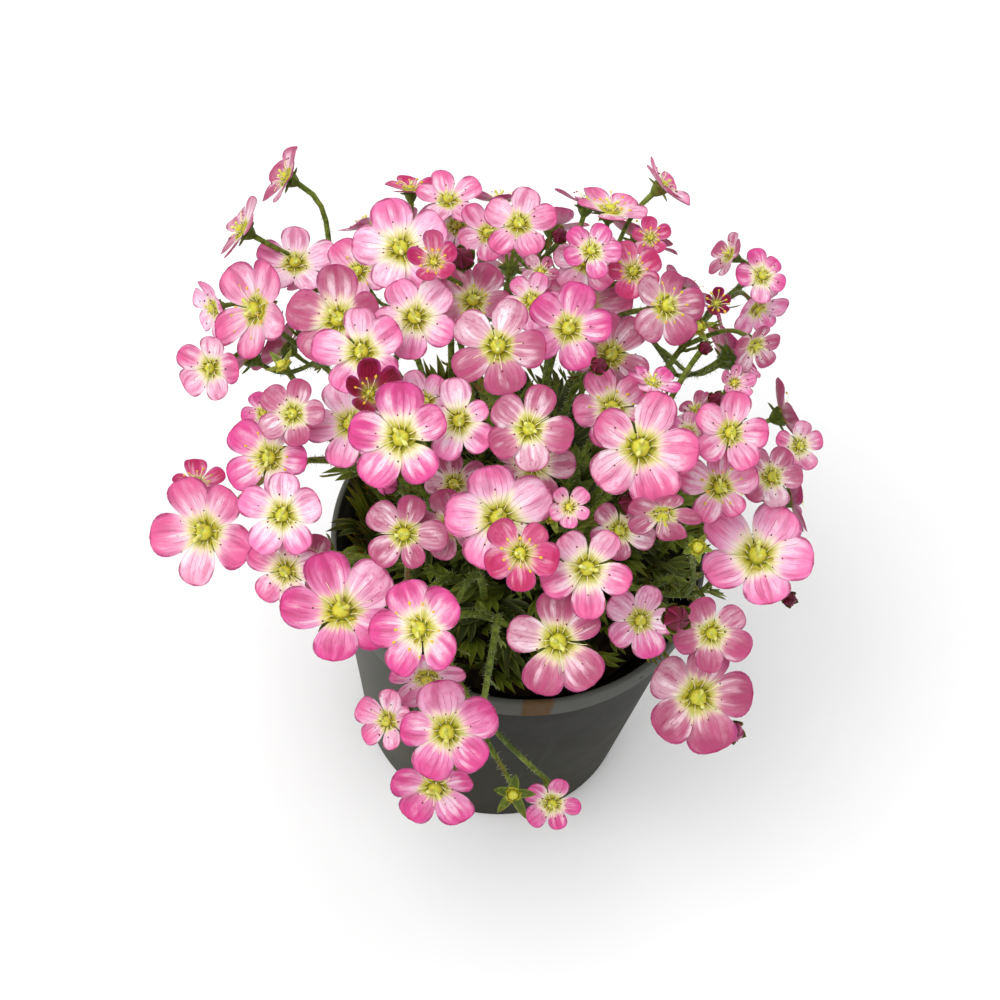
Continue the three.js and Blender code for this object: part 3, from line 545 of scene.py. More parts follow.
def crossings(spray, heads, laid):
    """How often a spray's stem and branches run through a head, the pot or a stem laid before it."""
    count = 0
    pieces = [(spray.stem, STEM["radius"], None)]
    pieces += [(branch, STEM["tip"], head) for branch, head in zip(spray.branches, spray.heads)]
    for curve, radius, ending in pieces:
        steps = math.ceil(curve_length(curve) / TEST["spacing"])
        points = bezier(curve, np.linspace(0, 1, steps + 1))
        low = (points[:, 2] < POT["height"] + TEST["above"]) & (points[:, 2] > SOIL_TOP + TEST["under"])
        distance = np.hypot(points[:, 0], points[:, 1])
        count += WEIGHT["wall"] * np.sum(low & (np.abs(distance - POT["rim"] + 1) < TEST["wall"] + radius))
        for head in heads:
            if head is ending or np.abs(points - head.centre).max(1).min() > 1.5 * (head.radius + 3):
                continue
            share = WEIGHT["own" if any(head is own for own in spray.heads) else "other"]
            count += share * np.sum(touches(points, head, radius + TEST["head"]))
        if len(laid):
            near = laid[(np.abs(laid - points.mean(0)) < np.ptp(points, axis=0) + 3).all(1)]
            apart = points[:, None] - near[None]
            count += WEIGHT["stem"] * np.sum(dot(apart, apart) < TEST["stem"] ** 2)
    return count


@functools.cache
def plant():
    """Every head, and the sprays that carry them: each takes the trial with the fewest crossings."""
    heads = place_heads()
    groups = gather(heads)
    laid = np.zeros((0, 3))
    sprays = []
    for group, root in zip(groups, root_sites(groups)):
        number = group[0].number
        own = SEEN[number].get("sway") if number < len(SEEN) else None
        sways = SWAYS if own is None else (own,)
        trials = [spray_curves(group, root, depth, sway) for depth in FORK_DEPTHS for sway in sways]
        best = trials[int(np.argmin([crossings(trial, heads, laid) for trial in trials]))]
        for curve in [best.stem, *best.branches]:
            laid = np.vstack([laid, bezier(curve, np.linspace(0, 1, 21))])
        sprays.append(best)
    return heads, sprays


def closed_faces(rows, ring):
    """Corners of one closed body: rings of points one after another, then the two poles.

    Quads join each ring to the next, and a fan of triangles joins each end ring to its pole.
    """
    i = np.arange(ring)
    j = (i + 1) % ring
    first = (np.arange(rows - 1) * ring)[:, None]
    quads = np.stack([first + i, first + j, first + j + ring, first + i + ring], -1).reshape(-1, 4)
    last = (rows - 1) * ring
    start = np.stack([j, i, np.full(ring, rows * ring)], -1)
    end = np.stack([last + i, last + j, np.full(ring, rows * ring + 1)], -1)
    return quads, np.concatenate([start, end])


def poled(rings, start, end):
    """Rings of bodies, rows and ring points, made into one list of points a body with its poles last."""
    bodies = rings.shape[0]
    flat = rings.reshape(bodies, -1, rings.shape[-1])
    shape = (bodies, 1, rings.shape[-1])
    return np.concatenate([flat, np.broadcast_to(start, shape), np.broadcast_to(end, shape)], 1)


class Shapes:
    """Closed bodies gathered for one piece, with the triples that its material reads at each point."""

    def __init__(self, *names):
        self.points = []
        self.quads = []
        self.fans = []
        self.values = {name: [] for name in names}
        self.count = 0

    def add(self, points, rows, ring, **values):
        """Bodies of one kind. Those whose volume comes out negative have their faces turned round."""
        quads, fans = closed_faces(rows, ring)
        corners = np.concatenate([quads[:, [0, 1, 2]], quads[:, [0, 2, 3]], fans])
        a, b, c = (points[:, corners[:, k]] - points[:, :1] for k in range(3))
        inside_out = dot(a, np.cross(b, c)).sum(1) < 0
        start = self.count + np.arange(len(points)) * points.shape[1]
        for faces, kept in ((quads, self.quads), (fans, self.fans)):
            turned = np.where(inside_out[:, None, None], faces[:, ::-1][None], faces[None])
            kept.append((turned + start[:, None, None]).reshape(-1, faces.shape[1]))
        self.points.append(points.reshape(-1, 3))
        for name, value in values.items():
            self.values[name].append(np.broadcast_to(value, points.shape).reshape(-1, 3))
        self.count += points.shape[0] * points.shape[1]

    def build(self, name, shader, stands_for=(), crease=60):
        """The piece's mesh and object, in metres at the origin, riding on the pot."""
        mesh = bpy.data.meshes.new(name)
        points = np.concatenate(self.points) * MM
        quads = np.concatenate(self.quads)
        fans = np.concatenate(self.fans)
        corners = np.concatenate([quads.ravel(), fans.ravel()])
        starts = np.concatenate([np.arange(len(quads)) * 4, len(quads) * 4 + np.arange(len(fans)) * 3])
        mesh.vertices.add(len(points))
        mesh.vertices.foreach_set("co", points.ravel())
        mesh.loops.add(len(corners))
        mesh.loops.foreach_set("vertex_index", corners)
        mesh.polygons.add(len(starts))
        mesh.polygons.foreach_set("loop_start", starts)
        mesh.polygons.foreach_set("use_smooth", np.ones(len(starts), bool))
        mesh.update(calc_edges=True)
        for kind, values in self.values.items():
            layer = mesh.attributes.new(kind, "FLOAT_VECTOR", "POINT")
            layer.data.foreach_set("vector", np.concatenate(values).ravel())
        mesh.set_sharp_from_angle(angle=math.radians(crease))
        mesh.materials.append(shader.material)
        piece = bpy.data.objects.new(name, mesh)
        bpy.context.scene.collection.objects.link(piece)
        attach(piece, "root")
        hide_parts(*stands_for)
        return piece


def carried(paths, radii, ring):
    """Round sections carried along many paths at once, their frame turned as little as possible.

    paths is bodies, rows and points, and radii is bodies and rows. Gives the rings, and the two
    directions across the path at each row.
    """
    ahead = unit(np.gradient(paths, axis=1))
    guess = np.where(np.abs(ahead[:, 0, 2:]) < 0.8, UP, np.array([1.0, 0.2, 0.0]))
    sides = []
    side = unit(np.cross(ahead[:, 0], guess))
    for row in range(paths.shape[1]):
        side = unit(side - dot(side, ahead[:, row])[:, None] * ahead[:, row])
        sides.append(side)
    side = np.stack(sides, 1)
    other = np.cross(ahead, side)
    angle = turns(ring)
    reach = radii[:, :, None, None]
    rings = paths[:, :, None] + reach * np.cos(angle)[:, None] * side[:, :, None]
    return rings + reach * np.sin(angle)[:, None] * other[:, :, None], side, other


def blade_sides(across):
    """Places from edge to edge over the top of a blade and back below, and which side each is on.

    The side is 1 on top, -1 below and 0 at the two edges.
    """
    top = np.linspace(-1, 1, across)
    side = np.concatenate([np.ones(across), -np.ones(across - 2)])
    side[[0, across - 1]] = 0
    return np.concatenate([top, top[-2:0:-1]]), side


def blades(frames, ahead, aside, lift, thick, grid):
    """Thin closed blades: petals, sepals and leaf lobes, each in its own frame.

    A blade runs from 0 to 1 along it and from -1 to 1 across it. frames is its origin, its forward,
    left and up directions and its size. ahead and aside are functions of the two parameters that give
    the place forward and to the left, and lift is one of the parameters and that place that gives the
    height, all in parts of the blade's size. thick is the half thickness in the same parts, which thins
    to nothing at the rim. grid has the rows and the points across. Gives the points, and the along,
    across and side of each.
    """
    origin, forward, left, up, size = frames
    v, side = blade_sides(grid["across"])
    u = np.linspace(0, 1, grid["rows"] + 2)
    u, v = (part[None] for part in np.meshgrid(u, v, indexing="ij"))
    x = ahead(u, v)
    y = aside(u, v)
    z = lift(u, v, x, y) + thick * side * (1 - v**4) * (1 - u**6)
    x, y, z = ((size[:, None, None] * part)[..., None] for part in (x, y, z))
    forward, left, up = (part[:, None, None] for part in (forward, left, up))
    points = origin[:, None, None] + x * forward + y * left + z * up
    place = np.stack(np.broadcast_arrays(u, v, side), -1)
    middle = grid["across"] // 2
    start, end = points[:, :1, middle], points[:, -1:, middle]
    place_start, place_end = np.array([0.0, 0.0, 0.0]), np.array([1.0, 0.0, 0.0])
    return poled(points[:, 1:-1], start, end), poled(place[:, 1:-1], place_start, place_end)


def as_arrays(heads):
    """Centre, the two directions across and the face of many heads, and their radii."""
    fields = ("centre", "across", "ahead", "face", "radius")
    return [np.array([getattr(head, field) for head in heads]) for field in fields]


def round_heads(heads, reach, angle, height):
    """Points about each head's own axis: a reach at an angle in its plane, and a height along its face."""
    centre, across, ahead, face, _ = (part[:, None, None] for part in as_arrays(heads))
    level = (reach * np.cos(angle))[..., None] * across + (reach * np.sin(angle))[..., None] * ahead
    return centre + level + height[..., None] * face


def spokes(heads, count, offset, jitter, seed):
    """Frames of count blades round each head, the first at an angle in degrees, with a steady jitter."""
    centre, across, ahead, face, radius = as_arrays(heads)
    number = np.array([head.number for head in heads])[:, None] * count + np.arange(count)
    angle = np.radians(offset + np.arange(count) * 360 / count + jitter * (2 * draw(number + seed) - 1))
    forward = np.cos(angle)[..., None] * across[:, None] + np.sin(angle)[..., None] * ahead[:, None]
    up = np.repeat(face, count, axis=0)
    forward = forward.reshape(-1, 3)
    origin, size = np.repeat(centre, count, axis=0), np.repeat(radius, count)
    return (origin, forward, np.cross(up, forward), up, size), number.ravel()


def spread(low, high, number, seed):
    """A steady draw between two values for each body, shaped to go with a grid of its points."""
    return (low + (high - low) * draw(number * 1.7 + seed))[:, None, None]


def petals(heads, look):
    """Five oval petals a head, each a blade that is widest two thirds of the way out.

    Half width: along to the 0.65, times the root of 1 less a power of along. Height: the head's dish,
    which rises with the square of the distance from its middle, a tilt that lays one edge over the next
    petal, a roll of the sides, three shallow folds along it, a tip that curls back and a wavy edge.
    """
    frames, number = spokes(heads, 5, 0, 7, 11)
    cup = np.repeat([head.cup for head in heads], 5)[:, None, None]
    full = np.repeat([float(draw(head.number + 31)) for head in heads], 5)[:, None, None]
    small = spread(0, 1, number, 49)
    blunt = spread(2.0, 3.0, number, 41)
    reach = 1.02 - 0.1 * spread(0, 1, number, 42) - 0.2 * small**6
    widest = look.petal_width * (0.95 + 0.12 * full) * spread(0.88, 1.1, number, 43) * (1 - 0.3 * small**6)
    roll = spread(-0.35, 0.55, number, 44)
    tip = spread(-0.4, 1.0, number, 45)
    wave = spread(0.006, 0.024, number, 46)
    phase = spread(0, 6.28, number, 47)
    tilt = spread(0.08, 0.2, number, 48)
    fullest = 1.3 / (1.3 + blunt)
    peak = fullest ** (0.65 / blunt) * np.sqrt(1 - fullest)
    start = 0.1

    def along(u):
        return 1 - (1 - u) ** 1.5

    def ahead(u, v):
        return start + (reach - start) * along(u)

    def aside(u, v):
        s = along(u)
        return v * widest / peak * s**0.65 * np.sqrt(np.maximum(0, 1 - s**blunt))

    def lift(u, v, x, y):
        s = along(u)
        dish = cup * (x * x + y * y)
        edge = wave * np.sin(8 * u + 4 * v + phase) * v * v * s
        folds = 0.016 * np.cos(7.5 * v) * s * (1.2 - s)
        return dish + tilt * y * s + roll * y * y - tip * np.maximum(0, x - 0.62) ** 2 + edge + folds

    points, place = blades(frames, ahead, aside, lift, 0.015, PETAL)
    place[..., 0] = start + (1 - start) * along(place[..., 0])
    mood = np.repeat(draw([head.number + 52 for head in heads]), 5)
    tint = np.stack([draw(number + 51), mood, draw(number + 53)], -1)
    return points, place, tint[:, None]


def sepals(heads, length, wide, drop, rise):
    """Five pointed sepals a head, in the gaps between its petals: blades that taper to a point."""
    frames, number = spokes(heads, 5, 36, 3, 61)
    cup = np.repeat([head.cup for head in heads], 5)[:, None, None]
    long = length * spread(0.9, 1.1, number, 62)
    bend = spread(-0.1, 0.35, number, 63)

    def ahead(u, v):
        return 0.1 + long * u

    def aside(u, v):
        return v * wide * (u + 0.25) ** 0.35 * np.maximum(0, 1 - u**1.8) ** 0.9

    def lift(u, v, x, y):
        return (cup + rise) * x * x - drop - bend * u * u * long + 0.4 * y * y / wide

    return blades(frames, ahead, aside, lift, 0.03, SEPAL)


def calyx_cups(heads):
    """A round cup under each bloom, from its stalk out to the foot of its petals along a quarter sine."""
    centre, _, _, face, radius = as_arrays(heads)
    depth = np.array([stalk_depth(head) for head in heads])
    t = np.array([0.0, 0.14, 0.32, 0.55, 0.8, 1.0])
    rim = np.minimum(0.27 * radius, 2.6)
    reach = STEM["tip"] + (rim[:, None] - STEM["tip"]) * np.sin(t * math.pi / 2) ** 0.8
    height = -depth[:, None] * (1 - t) ** 1.2 - 0.01 * radius[:, None]
    ring = 12
    angle = turns(ring)
    ribs = 1 + 0.05 * np.cos(5 * angle)
    points = round_heads(heads, reach[:, :, None] * ribs, angle, height[:, :, None])
    start = (centre - (depth * 1.05)[:, None] * face)[:, None]
    end = (centre - 0.03 * radius[:, None] * face)[:, None]
    return poled(points, start, end), len(t), ring


def hearts(heads, swell):
    """The green middle of each bloom: a lobed nectary ring, a groove and the ovary's dome inside it.

    A profile turned round the bloom's axis. Its radius is times 1 and a cosine of ten times the angle,
    and it is lumpy by sines of three and seven times the angle, all of which fade towards the middle.
    """
    centre, _, _, face, radius = as_arrays(heads)
    reach = np.array([0.19, 0.235, 0.23, 0.2, 0.165, 0.145, 0.12, 0.065])
    rise = np.array([-0.03, 0.02, 0.06, 0.075, 0.045, 0.1, 0.15, 0.175])
    rows, ring = len(reach), 20
    angle = turns(ring)
    fade = np.linspace(1, 0.2, rows)[:, None]
    number = np.array([head.number for head in heads])[:, None, None]
    lumps = np.sin(3 * angle + 6.3 * draw(number)) + np.sin(7 * angle + 6.3 * draw(number + 5))
    lobes = 1 + (0.13 * np.cos(10 * angle) + 0.09 * lumps) * fade
    size = np.maximum(radius, 5)[:, None, None] * swell
    reach = reach[:, None] * lobes * size
    rise = (rise[:, None] + 0.02 * lumps * fade) * size
    points = round_heads(heads, reach, angle, rise)
    start = (centre - 0.04 * size[:, 0] * face)[:, None]
    end = (centre + 0.18 * size[:, 0] * face)[:, None]
    place = np.zeros((len(heads), rows, ring, 3))
    place[..., 0] = np.linspace(0, 0.9, rows)[:, None]
    place[..., 1] = 0.5 + 0.5 * np.cos(10 * angle)
    place[..., 2] = draw(number + 71)
    return poled(points, start, end), poled(place, place[:, :1, 0], place[:, -1:, 0]), rows, ring


def arcs(origin, middle, end, rows):
    """Points along curves through three control points, weighted by the squares of the way along."""
    t = np.linspace(0, 1, rows)[None, :, None]
    return (1 - t) ** 2 * origin[:, None] + 2 * t * (1 - t) * middle[:, None] + t * t * end[:, None]


def styles(heads):
    """Two horns on each ovary, which lean apart and end in a round stigma: sections along an arc."""
    frames, number = spokes(heads, 2, 20, 40, 81)
    origin, out, _, up, radius = frames
    size = np.maximum(radius, 5)[:, None]
    lean = 0.07 + 0.09 * draw(number + 82)[:, None]
    foot = origin + size * (0.035 * out + 0.13 * up)
    path = arcs(foot, foot + size * (0.02 * out + 0.1 * up), foot + size * (lean * out + 0.17 * up), 6)
    radii = size * np.array([0.05, 0.045, 0.036, 0.03, 0.045, 0.036])
    rings, _, _ = carried(path, radii, 6)
    return poled(rings, path[:, :1], path[:, -1:] + 0.02 * size[:, None] * up[:, None]), 6, 6


def stamen_paths(heads):
    """Ten filaments a head, rooted round the ovary: arcs that rise and spread out over the petals."""
    frames, number = spokes(heads, 10, 0, 9, 91)
    origin, out, _, up, radius = frames
    size = np.maximum(radius, 5)[:, None]
    cup = np.repeat([head.cup for head in heads], 10)[:, None]
    reach = 0.32 + 0.22 * draw(number + 92)[:, None]
    rise = 0.09 + 0.16 * draw(number + 93)[:, None] + cup * reach * reach
    foot = origin + size * (0.15 * out + 0.05 * up)
    middle = origin + size * (0.6 * reach * out + (rise + 0.05) * up)
    tip = origin + size * (reach * out + rise * up)
    return arcs(foot, middle, tip, 5), number


def filaments(paths):
    """Four-sided threads carried along the paths, which narrow by steps to their tips."""
    radii = np.array([0.12, 0.1, 0.08, 0.07, 0.06]) * np.ones((len(paths), 1))
    rings, _, _ = carried(paths, radii, 4)
    return poled(rings, paths[:, :1], paths[:, -1:]), 5, 4


def beads(centres, ahead, long, wide):
    """Small egg-shaped bodies along a direction, from three rings of six points and two poles."""
    part = np.array([-0.6, 0.0, 0.6])
    paths = centres[:, None] + ahead[:, None] * (part[:, None] * long[:, None, None])
    rings, _, _ = carried(paths, wide[:, None] * np.array([0.8, 1.0, 0.75]), 6)
    centres, end = centres[:, None], (ahead * long[:, None])[:, None]
    return poled(rings, centres - end, centres + end), 3, 6


def wrapped(heads, rows, first, span, swell, height):
    """Five thin blades wrapped round each bud, the first at an angle in degrees.

    span is half the angle that a blade takes up, swell its distance from the bud's axis and height its
    height, both in parts of the bud's radius, as functions of the way up, the place across and, for
    swell, which side it is (0 outside, 1 inside). Gives the points, and the way up and across of each.
    """
    v, side = blade_sides(SEPAL["across"])
    inner = (side < 0).astype(float)
    u = np.linspace(0, 1, rows)[:, None]
    radius = np.array([head.radius for head in heads])[:, None, None]
    bodies = []
    for k in range(5):
        angle = math.radians(first + 72 * k) + span(u) * v
        rings = round_heads(heads, radius * swell(u, v, inner), angle, radius * height(u))
        bodies.append(poled(rings, rings[:, 0].mean(1)[:, None], rings[:, -1].mean(1)[:, None]))
    return np.concatenate(bodies), u, v


def bud_petals(heads):
    """Five petals wrapped into an egg: each covers two fifths of a turn and lies over its neighbour.

    Half the angle and the distance from the axis are both parts of a sine of the way up.
    """

    def span(u):
        return math.radians(62) * np.sin(math.pi * (0.12 + 0.7 * u))

    def swell(u, v, inner):
        return 0.6 * np.sin(math.pi * (0.18 + 0.8 * u) ** 1.05) * (1 + 0.16 * v - 0.1 * inner)

    rows = 8
    points, u, v = wrapped(heads, rows, 0, span, swell, lambda u: -0.5 + 1.62 * u)
    place = np.stack(np.broadcast_arrays(0.6 + 0.35 * u, v, -1.0), -1)[None]
    return points, poled(place, place[:, :1, 0], place[:, -1:, 0]), rows


def bud_sepals(heads):
    """Five sepals that hug a bud from its foot, on the same egg a little further out.

    Half the angle falls off as a power of the way up, so that each ends in a point.
    """

    def span(u):
        return math.radians(37) * np.maximum(0, 1 - u**2.2) ** 0.8

    def swell(u, v, inner):
        egg = np.sin(math.pi * (0.12 + 0.5 * u)) ** 0.7 + 0.25 * u**4
        return 0.72 * egg * (1 - 0.09 * inner - 0.03 * v * v)

    rows = 6
    return wrapped(heads, rows, 36, span, swell, lambda u: -0.78 + 1.15 * u)[0], rows


def spray_paths(sprays):
    """The stems, each run on into its first head, and the branches of the other heads."""
    main = []
    side = []
    for spray in sprays:
        stem = bezier(spray.stem, np.linspace(0, 1, 19))
        first = bezier(spray.branches[0], np.linspace(0, 1, 8))
        main.append(np.vstack([stem, first[1:]]))
        side += [bezier(branch, np.linspace(0, 1, 12)) for branch in spray.branches[1:]]
    return np.array(main), np.array(side)


def stem_tubes(paths, thick, thin, ring):
    """Round stems, thicker at the foot, with a slow ripple in their radius and a small flare on top."""
    rows = paths.shape[1]
    part = np.linspace(0, 1, rows)
    number = np.arange(len(paths))[:, None]
    radii = thick + (thin - thick) * part + 0.05 * np.sin(9 * part + 6.3 * draw(number))
    radii = radii + 0.12 * np.maximum(0, part - 0.92) / 0.08
    rings, side, other = carried(paths, radii, ring)
    return poled(rings, paths[:, :1], paths[:, -1:]), radii, side, other


def hairs(foot, ahead, long, thick):
    """Fine three-sided hairs, which are widest near the foot and end in a point."""
    paths = foot[:, None] + ahead[:, None] * (long[:, None, None] * np.array([0.15, 0.2])[:, None])
    rings, _, _ = carried(paths, thick[:, None] * np.ones(2), 3)
    return poled(rings[:, :1], foot[:, None], (foot + ahead * long[:, None])[:, None]), 1, 3


def stem_hairs(paths, radii, side, other, look, rng):
    """Hairs all over the stems, at seeded places along and round them, standing out a little upwards."""
    steps = np.linalg.norm(np.diff(paths, axis=1), axis=2)
    count = int(steps.sum() / look.hair_spacing)
    body = rng.choice(len(paths), count, p=steps.sum(1) / steps.sum())
    place = rng.uniform(0.12, 0.995, count) * (paths.shape[1] - 1)
    row = place.astype(int)
    part = (place - row)[:, None]
    turn = rng.uniform(0, 2 * math.pi, count)[:, None]

    def between(values):
        return values[body, row] * (1 - part) + values[body, row + 1] * part

    out = unit(np.cos(turn) * between(side) + np.sin(turn) * between(other))
    foot = between(paths) + out * between(radii[:, :, None]) * 0.9
    lean = out + 0.25 * rng.standard_normal((count, 3))
    long = look.hair_length * rng.uniform(0.5, 1.15, count)
    return hairs(foot, unit(lean), long, np.full(count, 0.06))


def lobe(frames, start, heading, length, wide, waist, sag):
    """One lobe of many leaves: a blade that sets off from the midrib at an angle and turns forward.

    Its half width is narrow up to the waist, swells past it and tapers to a blunt point. The leaf sags
    with the square of the distance forward, and the lobe's sides are raised along a groove.
    """

    def width(u):
        swell = waist + (1 - waist) / (1 + np.exp(-14 * (u - 0.42)))
        return wide * swell * np.maximum(0, 1 - u**3.2) ** 0.6

    def ahead(u, v):
        angle = heading * (1 - 0.35 * u)
        return start + length * u * np.cos(angle) - v * width(u) * np.sin(angle)

    def aside(u, v):
        angle = heading * (1 - 0.35 * u)
        return length * u * np.sin(angle) + v * width(u) * np.cos(angle)

    def lift(u, v, x, y):
        return sag * x * x + 0.45 * wide * v * v

    return blades(frames, ahead, aside, lift, 0.014, LOBE)


def keep_in_pot(points):
    """Points below the rim that would lie in or past the pot's wall are drawn in along their radius."""
    away = np.hypot(points[..., 0], points[..., 1])
    limit = np.where(points[..., 2] < POT["height"] - POT["lip"], INSIDE["wall"], INSIDE["lip"])
    low = (points[..., 2] < POT["height"] + INSIDE["above"]) & (away > limit)
    pull = np.where(low, limit / np.maximum(away, 1), 1)
    kept = points.copy()
    kept[..., 0] *= pull
    kept[..., 1] *= pull
    return kept


def over_rim(points):
    """Points are lifted over the rim: by a smooth step of their radius, which falls off far outside."""
    away = np.hypot(points[..., 0], points[..., 1])
    part = np.clip((away - SPILL["start"]) / SPILL["band"], 0, 1)
    sink = SPILL["sink"] * np.maximum(0, away - SPILL["past"])
    lifted = points.copy()
    lifted[..., 2] += SPILL["rise"] * part * part * (3 - 2 * part) - sink
    return lifted


def leaf_frames(origin, heading, climb, roll, size):
    """A leaf's forward, left and up directions, from its heading round the axis, its climb and roll."""
    level = round_axis(1, heading, 0)
    side = np.cross(UP, level)
    forward = level * np.cos(climb)[:, None] + UP * np.sin(climb)[:, None]
    up = np.cross(forward, side)
    left = side * np.cos(roll)[:, None] + up * np.sin(roll)[:, None]
    return origin, forward, left, np.cross(forward, left), size


def rosette_leaves(look, rng):
    """Rosettes on a spiral over the mound, each of leaves that lie flatter the further out they start.

    On the side where the cushion spills over the rim the leaves lean out across it. Elsewhere a leaf
    that points outwards is stood up, so that its tip stays inside the wall. Gives the leaves' frames,
    and which of them spill.
    """
    count, each = look.rosettes, look.leaves_each
    site = np.arange(count)
    part = np.sqrt((site + 0.5) / count)
    radius = part * (MOUND["radius"] - CUSHION["inset"])
    angle = site * GOLDEN_ANGLE
    centre = round_axis(radius, angle, mound_top(radius) - CUSHION["rooted"])
    turned = np.degrees(angle) % 360
    spills = (part > CUSHION["spilling"]) & (turned > SPILL["first"]) & (turned < SPILL["last"])
    shared = (spills, part, radius, centre)
    spills, part, radius, centre = (np.repeat(value, each, axis=0) for value in shared)
    step = np.tile(np.arange(each), count)
    heading = step * GOLDEN_ANGLE + rng.uniform(0, 2 * math.pi, count).repeat(each)
    steep = CUSHION["steep"] - CUSHION["flatten"] * np.sqrt(step / each)
    climb = np.radians(steep + rng.uniform(-8, 8, len(step)))
    out = unit(centre * np.array([1, 1, 0]))
    level = round_axis(1, heading, 0) * np.cos(climb)[:, None] + UP * np.sin(climb)[:, None]
    forward = unit(level + (CUSHION["lean"] * part)[:, None] * out)
    size = look.leaf_length * rng.uniform(0.6, 1.1, len(step)) * (0.75 + 0.3 * np.sqrt(step / each))
    room = (MOUND["radius"] - CUSHION["clear"] - radius) / size
    past = np.where(spills, 0, np.maximum(0, dot(forward, out) - room))
    forward = unit(forward - past[:, None] * out)
    heading = np.arctan2(forward[:, 1], forward[:, 0])
    climb = np.arcsin(forward[:, 2])
    heading = heading + np.where(spills, rng.uniform(-0.8, 0.8, len(step)), 0)
    climb = climb + np.where(spills, rng.uniform(-0.2, 0.5, len(step)), 0)
    origin = centre + 0.8 * rng.standard_normal((len(step), 3))
    roll = rng.uniform(-0.4, 0.4, len(step)) * (1 + spills)
    return leaf_frames(origin, heading, climb, roll, size), spills


def stem_leaves(sprays, rng):
    """Three small leaves up each stem, and one at its fork, which lean out from it."""
    origin, ahead = [], []
    for spray in sprays:
        for part in (0.3, 0.52, 0.74, 0.97):
            origin.append(bezier(spray.stem, part))
            ahead.append(tangent(spray.stem, part))
    origin, ahead = np.array(origin), np.array(ahead)
    side = unit(np.cross(ahead, rng.standard_normal(ahead.shape)))
    forward = unit(side + (0.5 + 0.5 * rng.uniform(0, 1, len(side)))[:, None] * ahead)
    left = unit(np.cross(forward, ahead))
    size = rng.uniform(5, 9.5, len(side))
    return origin, forward, left, np.cross(forward, left), size


class Number:
    """A value that varies over a surface: a node's output, to which an operator adds a Math node."""

    def __init__(self, shader, socket):
        self.shader = shader
        self.socket = socket

    def __add__(self, other):
        return self.shader.maths("ADD", self, other)

    def __sub__(self, other):
        return self.shader.maths("SUBTRACT", self, other)

    def __rsub__(self, other):
        return self.shader.maths("SUBTRACT", other, self)

    def __mul__(self, other):
        return self.shader.maths("MULTIPLY", self, other)

    def __pow__(self, other):
        return self.shader.maths("POWER", self, other)

    def __abs__(self):
        return self.shader.maths("ABSOLUTE", self, 0)

    __radd__ = __add__
    __rmul__ = __mul__


class Shader:
    """A material's nodes round its Principled shader, whose fixed sockets are set by name."""

    def __init__(self, name, **fixed):
        self.material = bpy.data.materials.new(name)
        self.material.use_nodes = True
        self.tree = self.material.node_tree
        self.skin = self.tree.nodes["Principled BSDF"]
        for socket, value in fixed.items():
            self.skin.inputs[socket.replace("_", " ")].default_value = value

    def node(self, kind, settings, inputs, output=0):
        """Adds a node: its settings first, then a value or a link for each socket, by name or number."""
        node = self.tree.nodes.new(kind)
        for name, value in settings.items():
            setattr(node, name, value)
        for socket, value in inputs.items():
            if isinstance(value, Number):
                self.tree.links.new(value.socket, node.inputs[socket])
            else:
                node.inputs[socket].default_value = value
        return Number(self, node.outputs[output])

    def maths(self, operation, one, other):
        return self.node("ShaderNodeMath", {"operation": operation}, {0: one, 1: other})

    def attribute(self, name):
        """The three numbers of one of the piece's own point attributes."""
        source = self.node("ShaderNodeAttribute", {"attribute_name": name}, {}, output=1)
        return self.parts(source)

    def parts(self, vector):
        split = self.node("ShaderNodeSeparateXYZ", {}, {0: vector})
        outputs = split.socket.node.outputs
        return [Number(self, outputs[k]) for k in range(3)]

    def place(self):
        """The point on the piece, in the frame's own directions."""
        return self.node("ShaderNodeTexCoord", {}, {}, output=3)

    def vector(self, x, y, z):
        return self.node("ShaderNodeCombineXYZ", {}, {0: x, 1: y, 2: z})

    def step(self, value, low, high):
        """0 below low and 1 above high, smoothly between."""
        settings = {"interpolation_type": "SMOOTHSTEP", "clamp": True}
        return self.node("ShaderNodeMapRange", settings, {0: value, 1: low, 2: high, 3: 0.0, 4: 1.0})

    def noise(self, vector, scale, detail=2.0, rough=0.5):
        inputs = {"Vector": vector, "Scale": scale, "Detail": detail, "Roughness": rough}
        return self.node("ShaderNodeTexNoise", {"noise_dimensions": "3D"}, inputs)

    def cells(self, vector, scale):
        """Distance to the nearest of scattered points."""
        return self.node("ShaderNodeTexVoronoi", {}, {"Vector": vector, "Scale": scale})

    def mix(self, factor, one, other):
        settings = {"data_type": "RGBA", "clamp_factor": True}
        one, other = (c if isinstance(c, Number) else (*c[:3], 1.0) for c in (one, other))
        return self.node("ShaderNodeMix", settings, {0: factor, 6: one, 7: other}, output=2)

    def coat(self, colour, roughness, height=None, depth=0.0001, strength=0.5):
        """Links what varies to the shader: its colour, its roughness, and a height through a bump."""
        links = {"Base Color": colour, "Roughness": roughness}
        if height is not None:
            inputs = {"Strength": strength, "Distance": depth, "Height": height}
            links["Normal"] = self.node("ShaderNodeBump", {}, inputs)
        for socket, value in links.items():
            self.tree.links.new(value.socket, self.skin.inputs[socket])
        return self


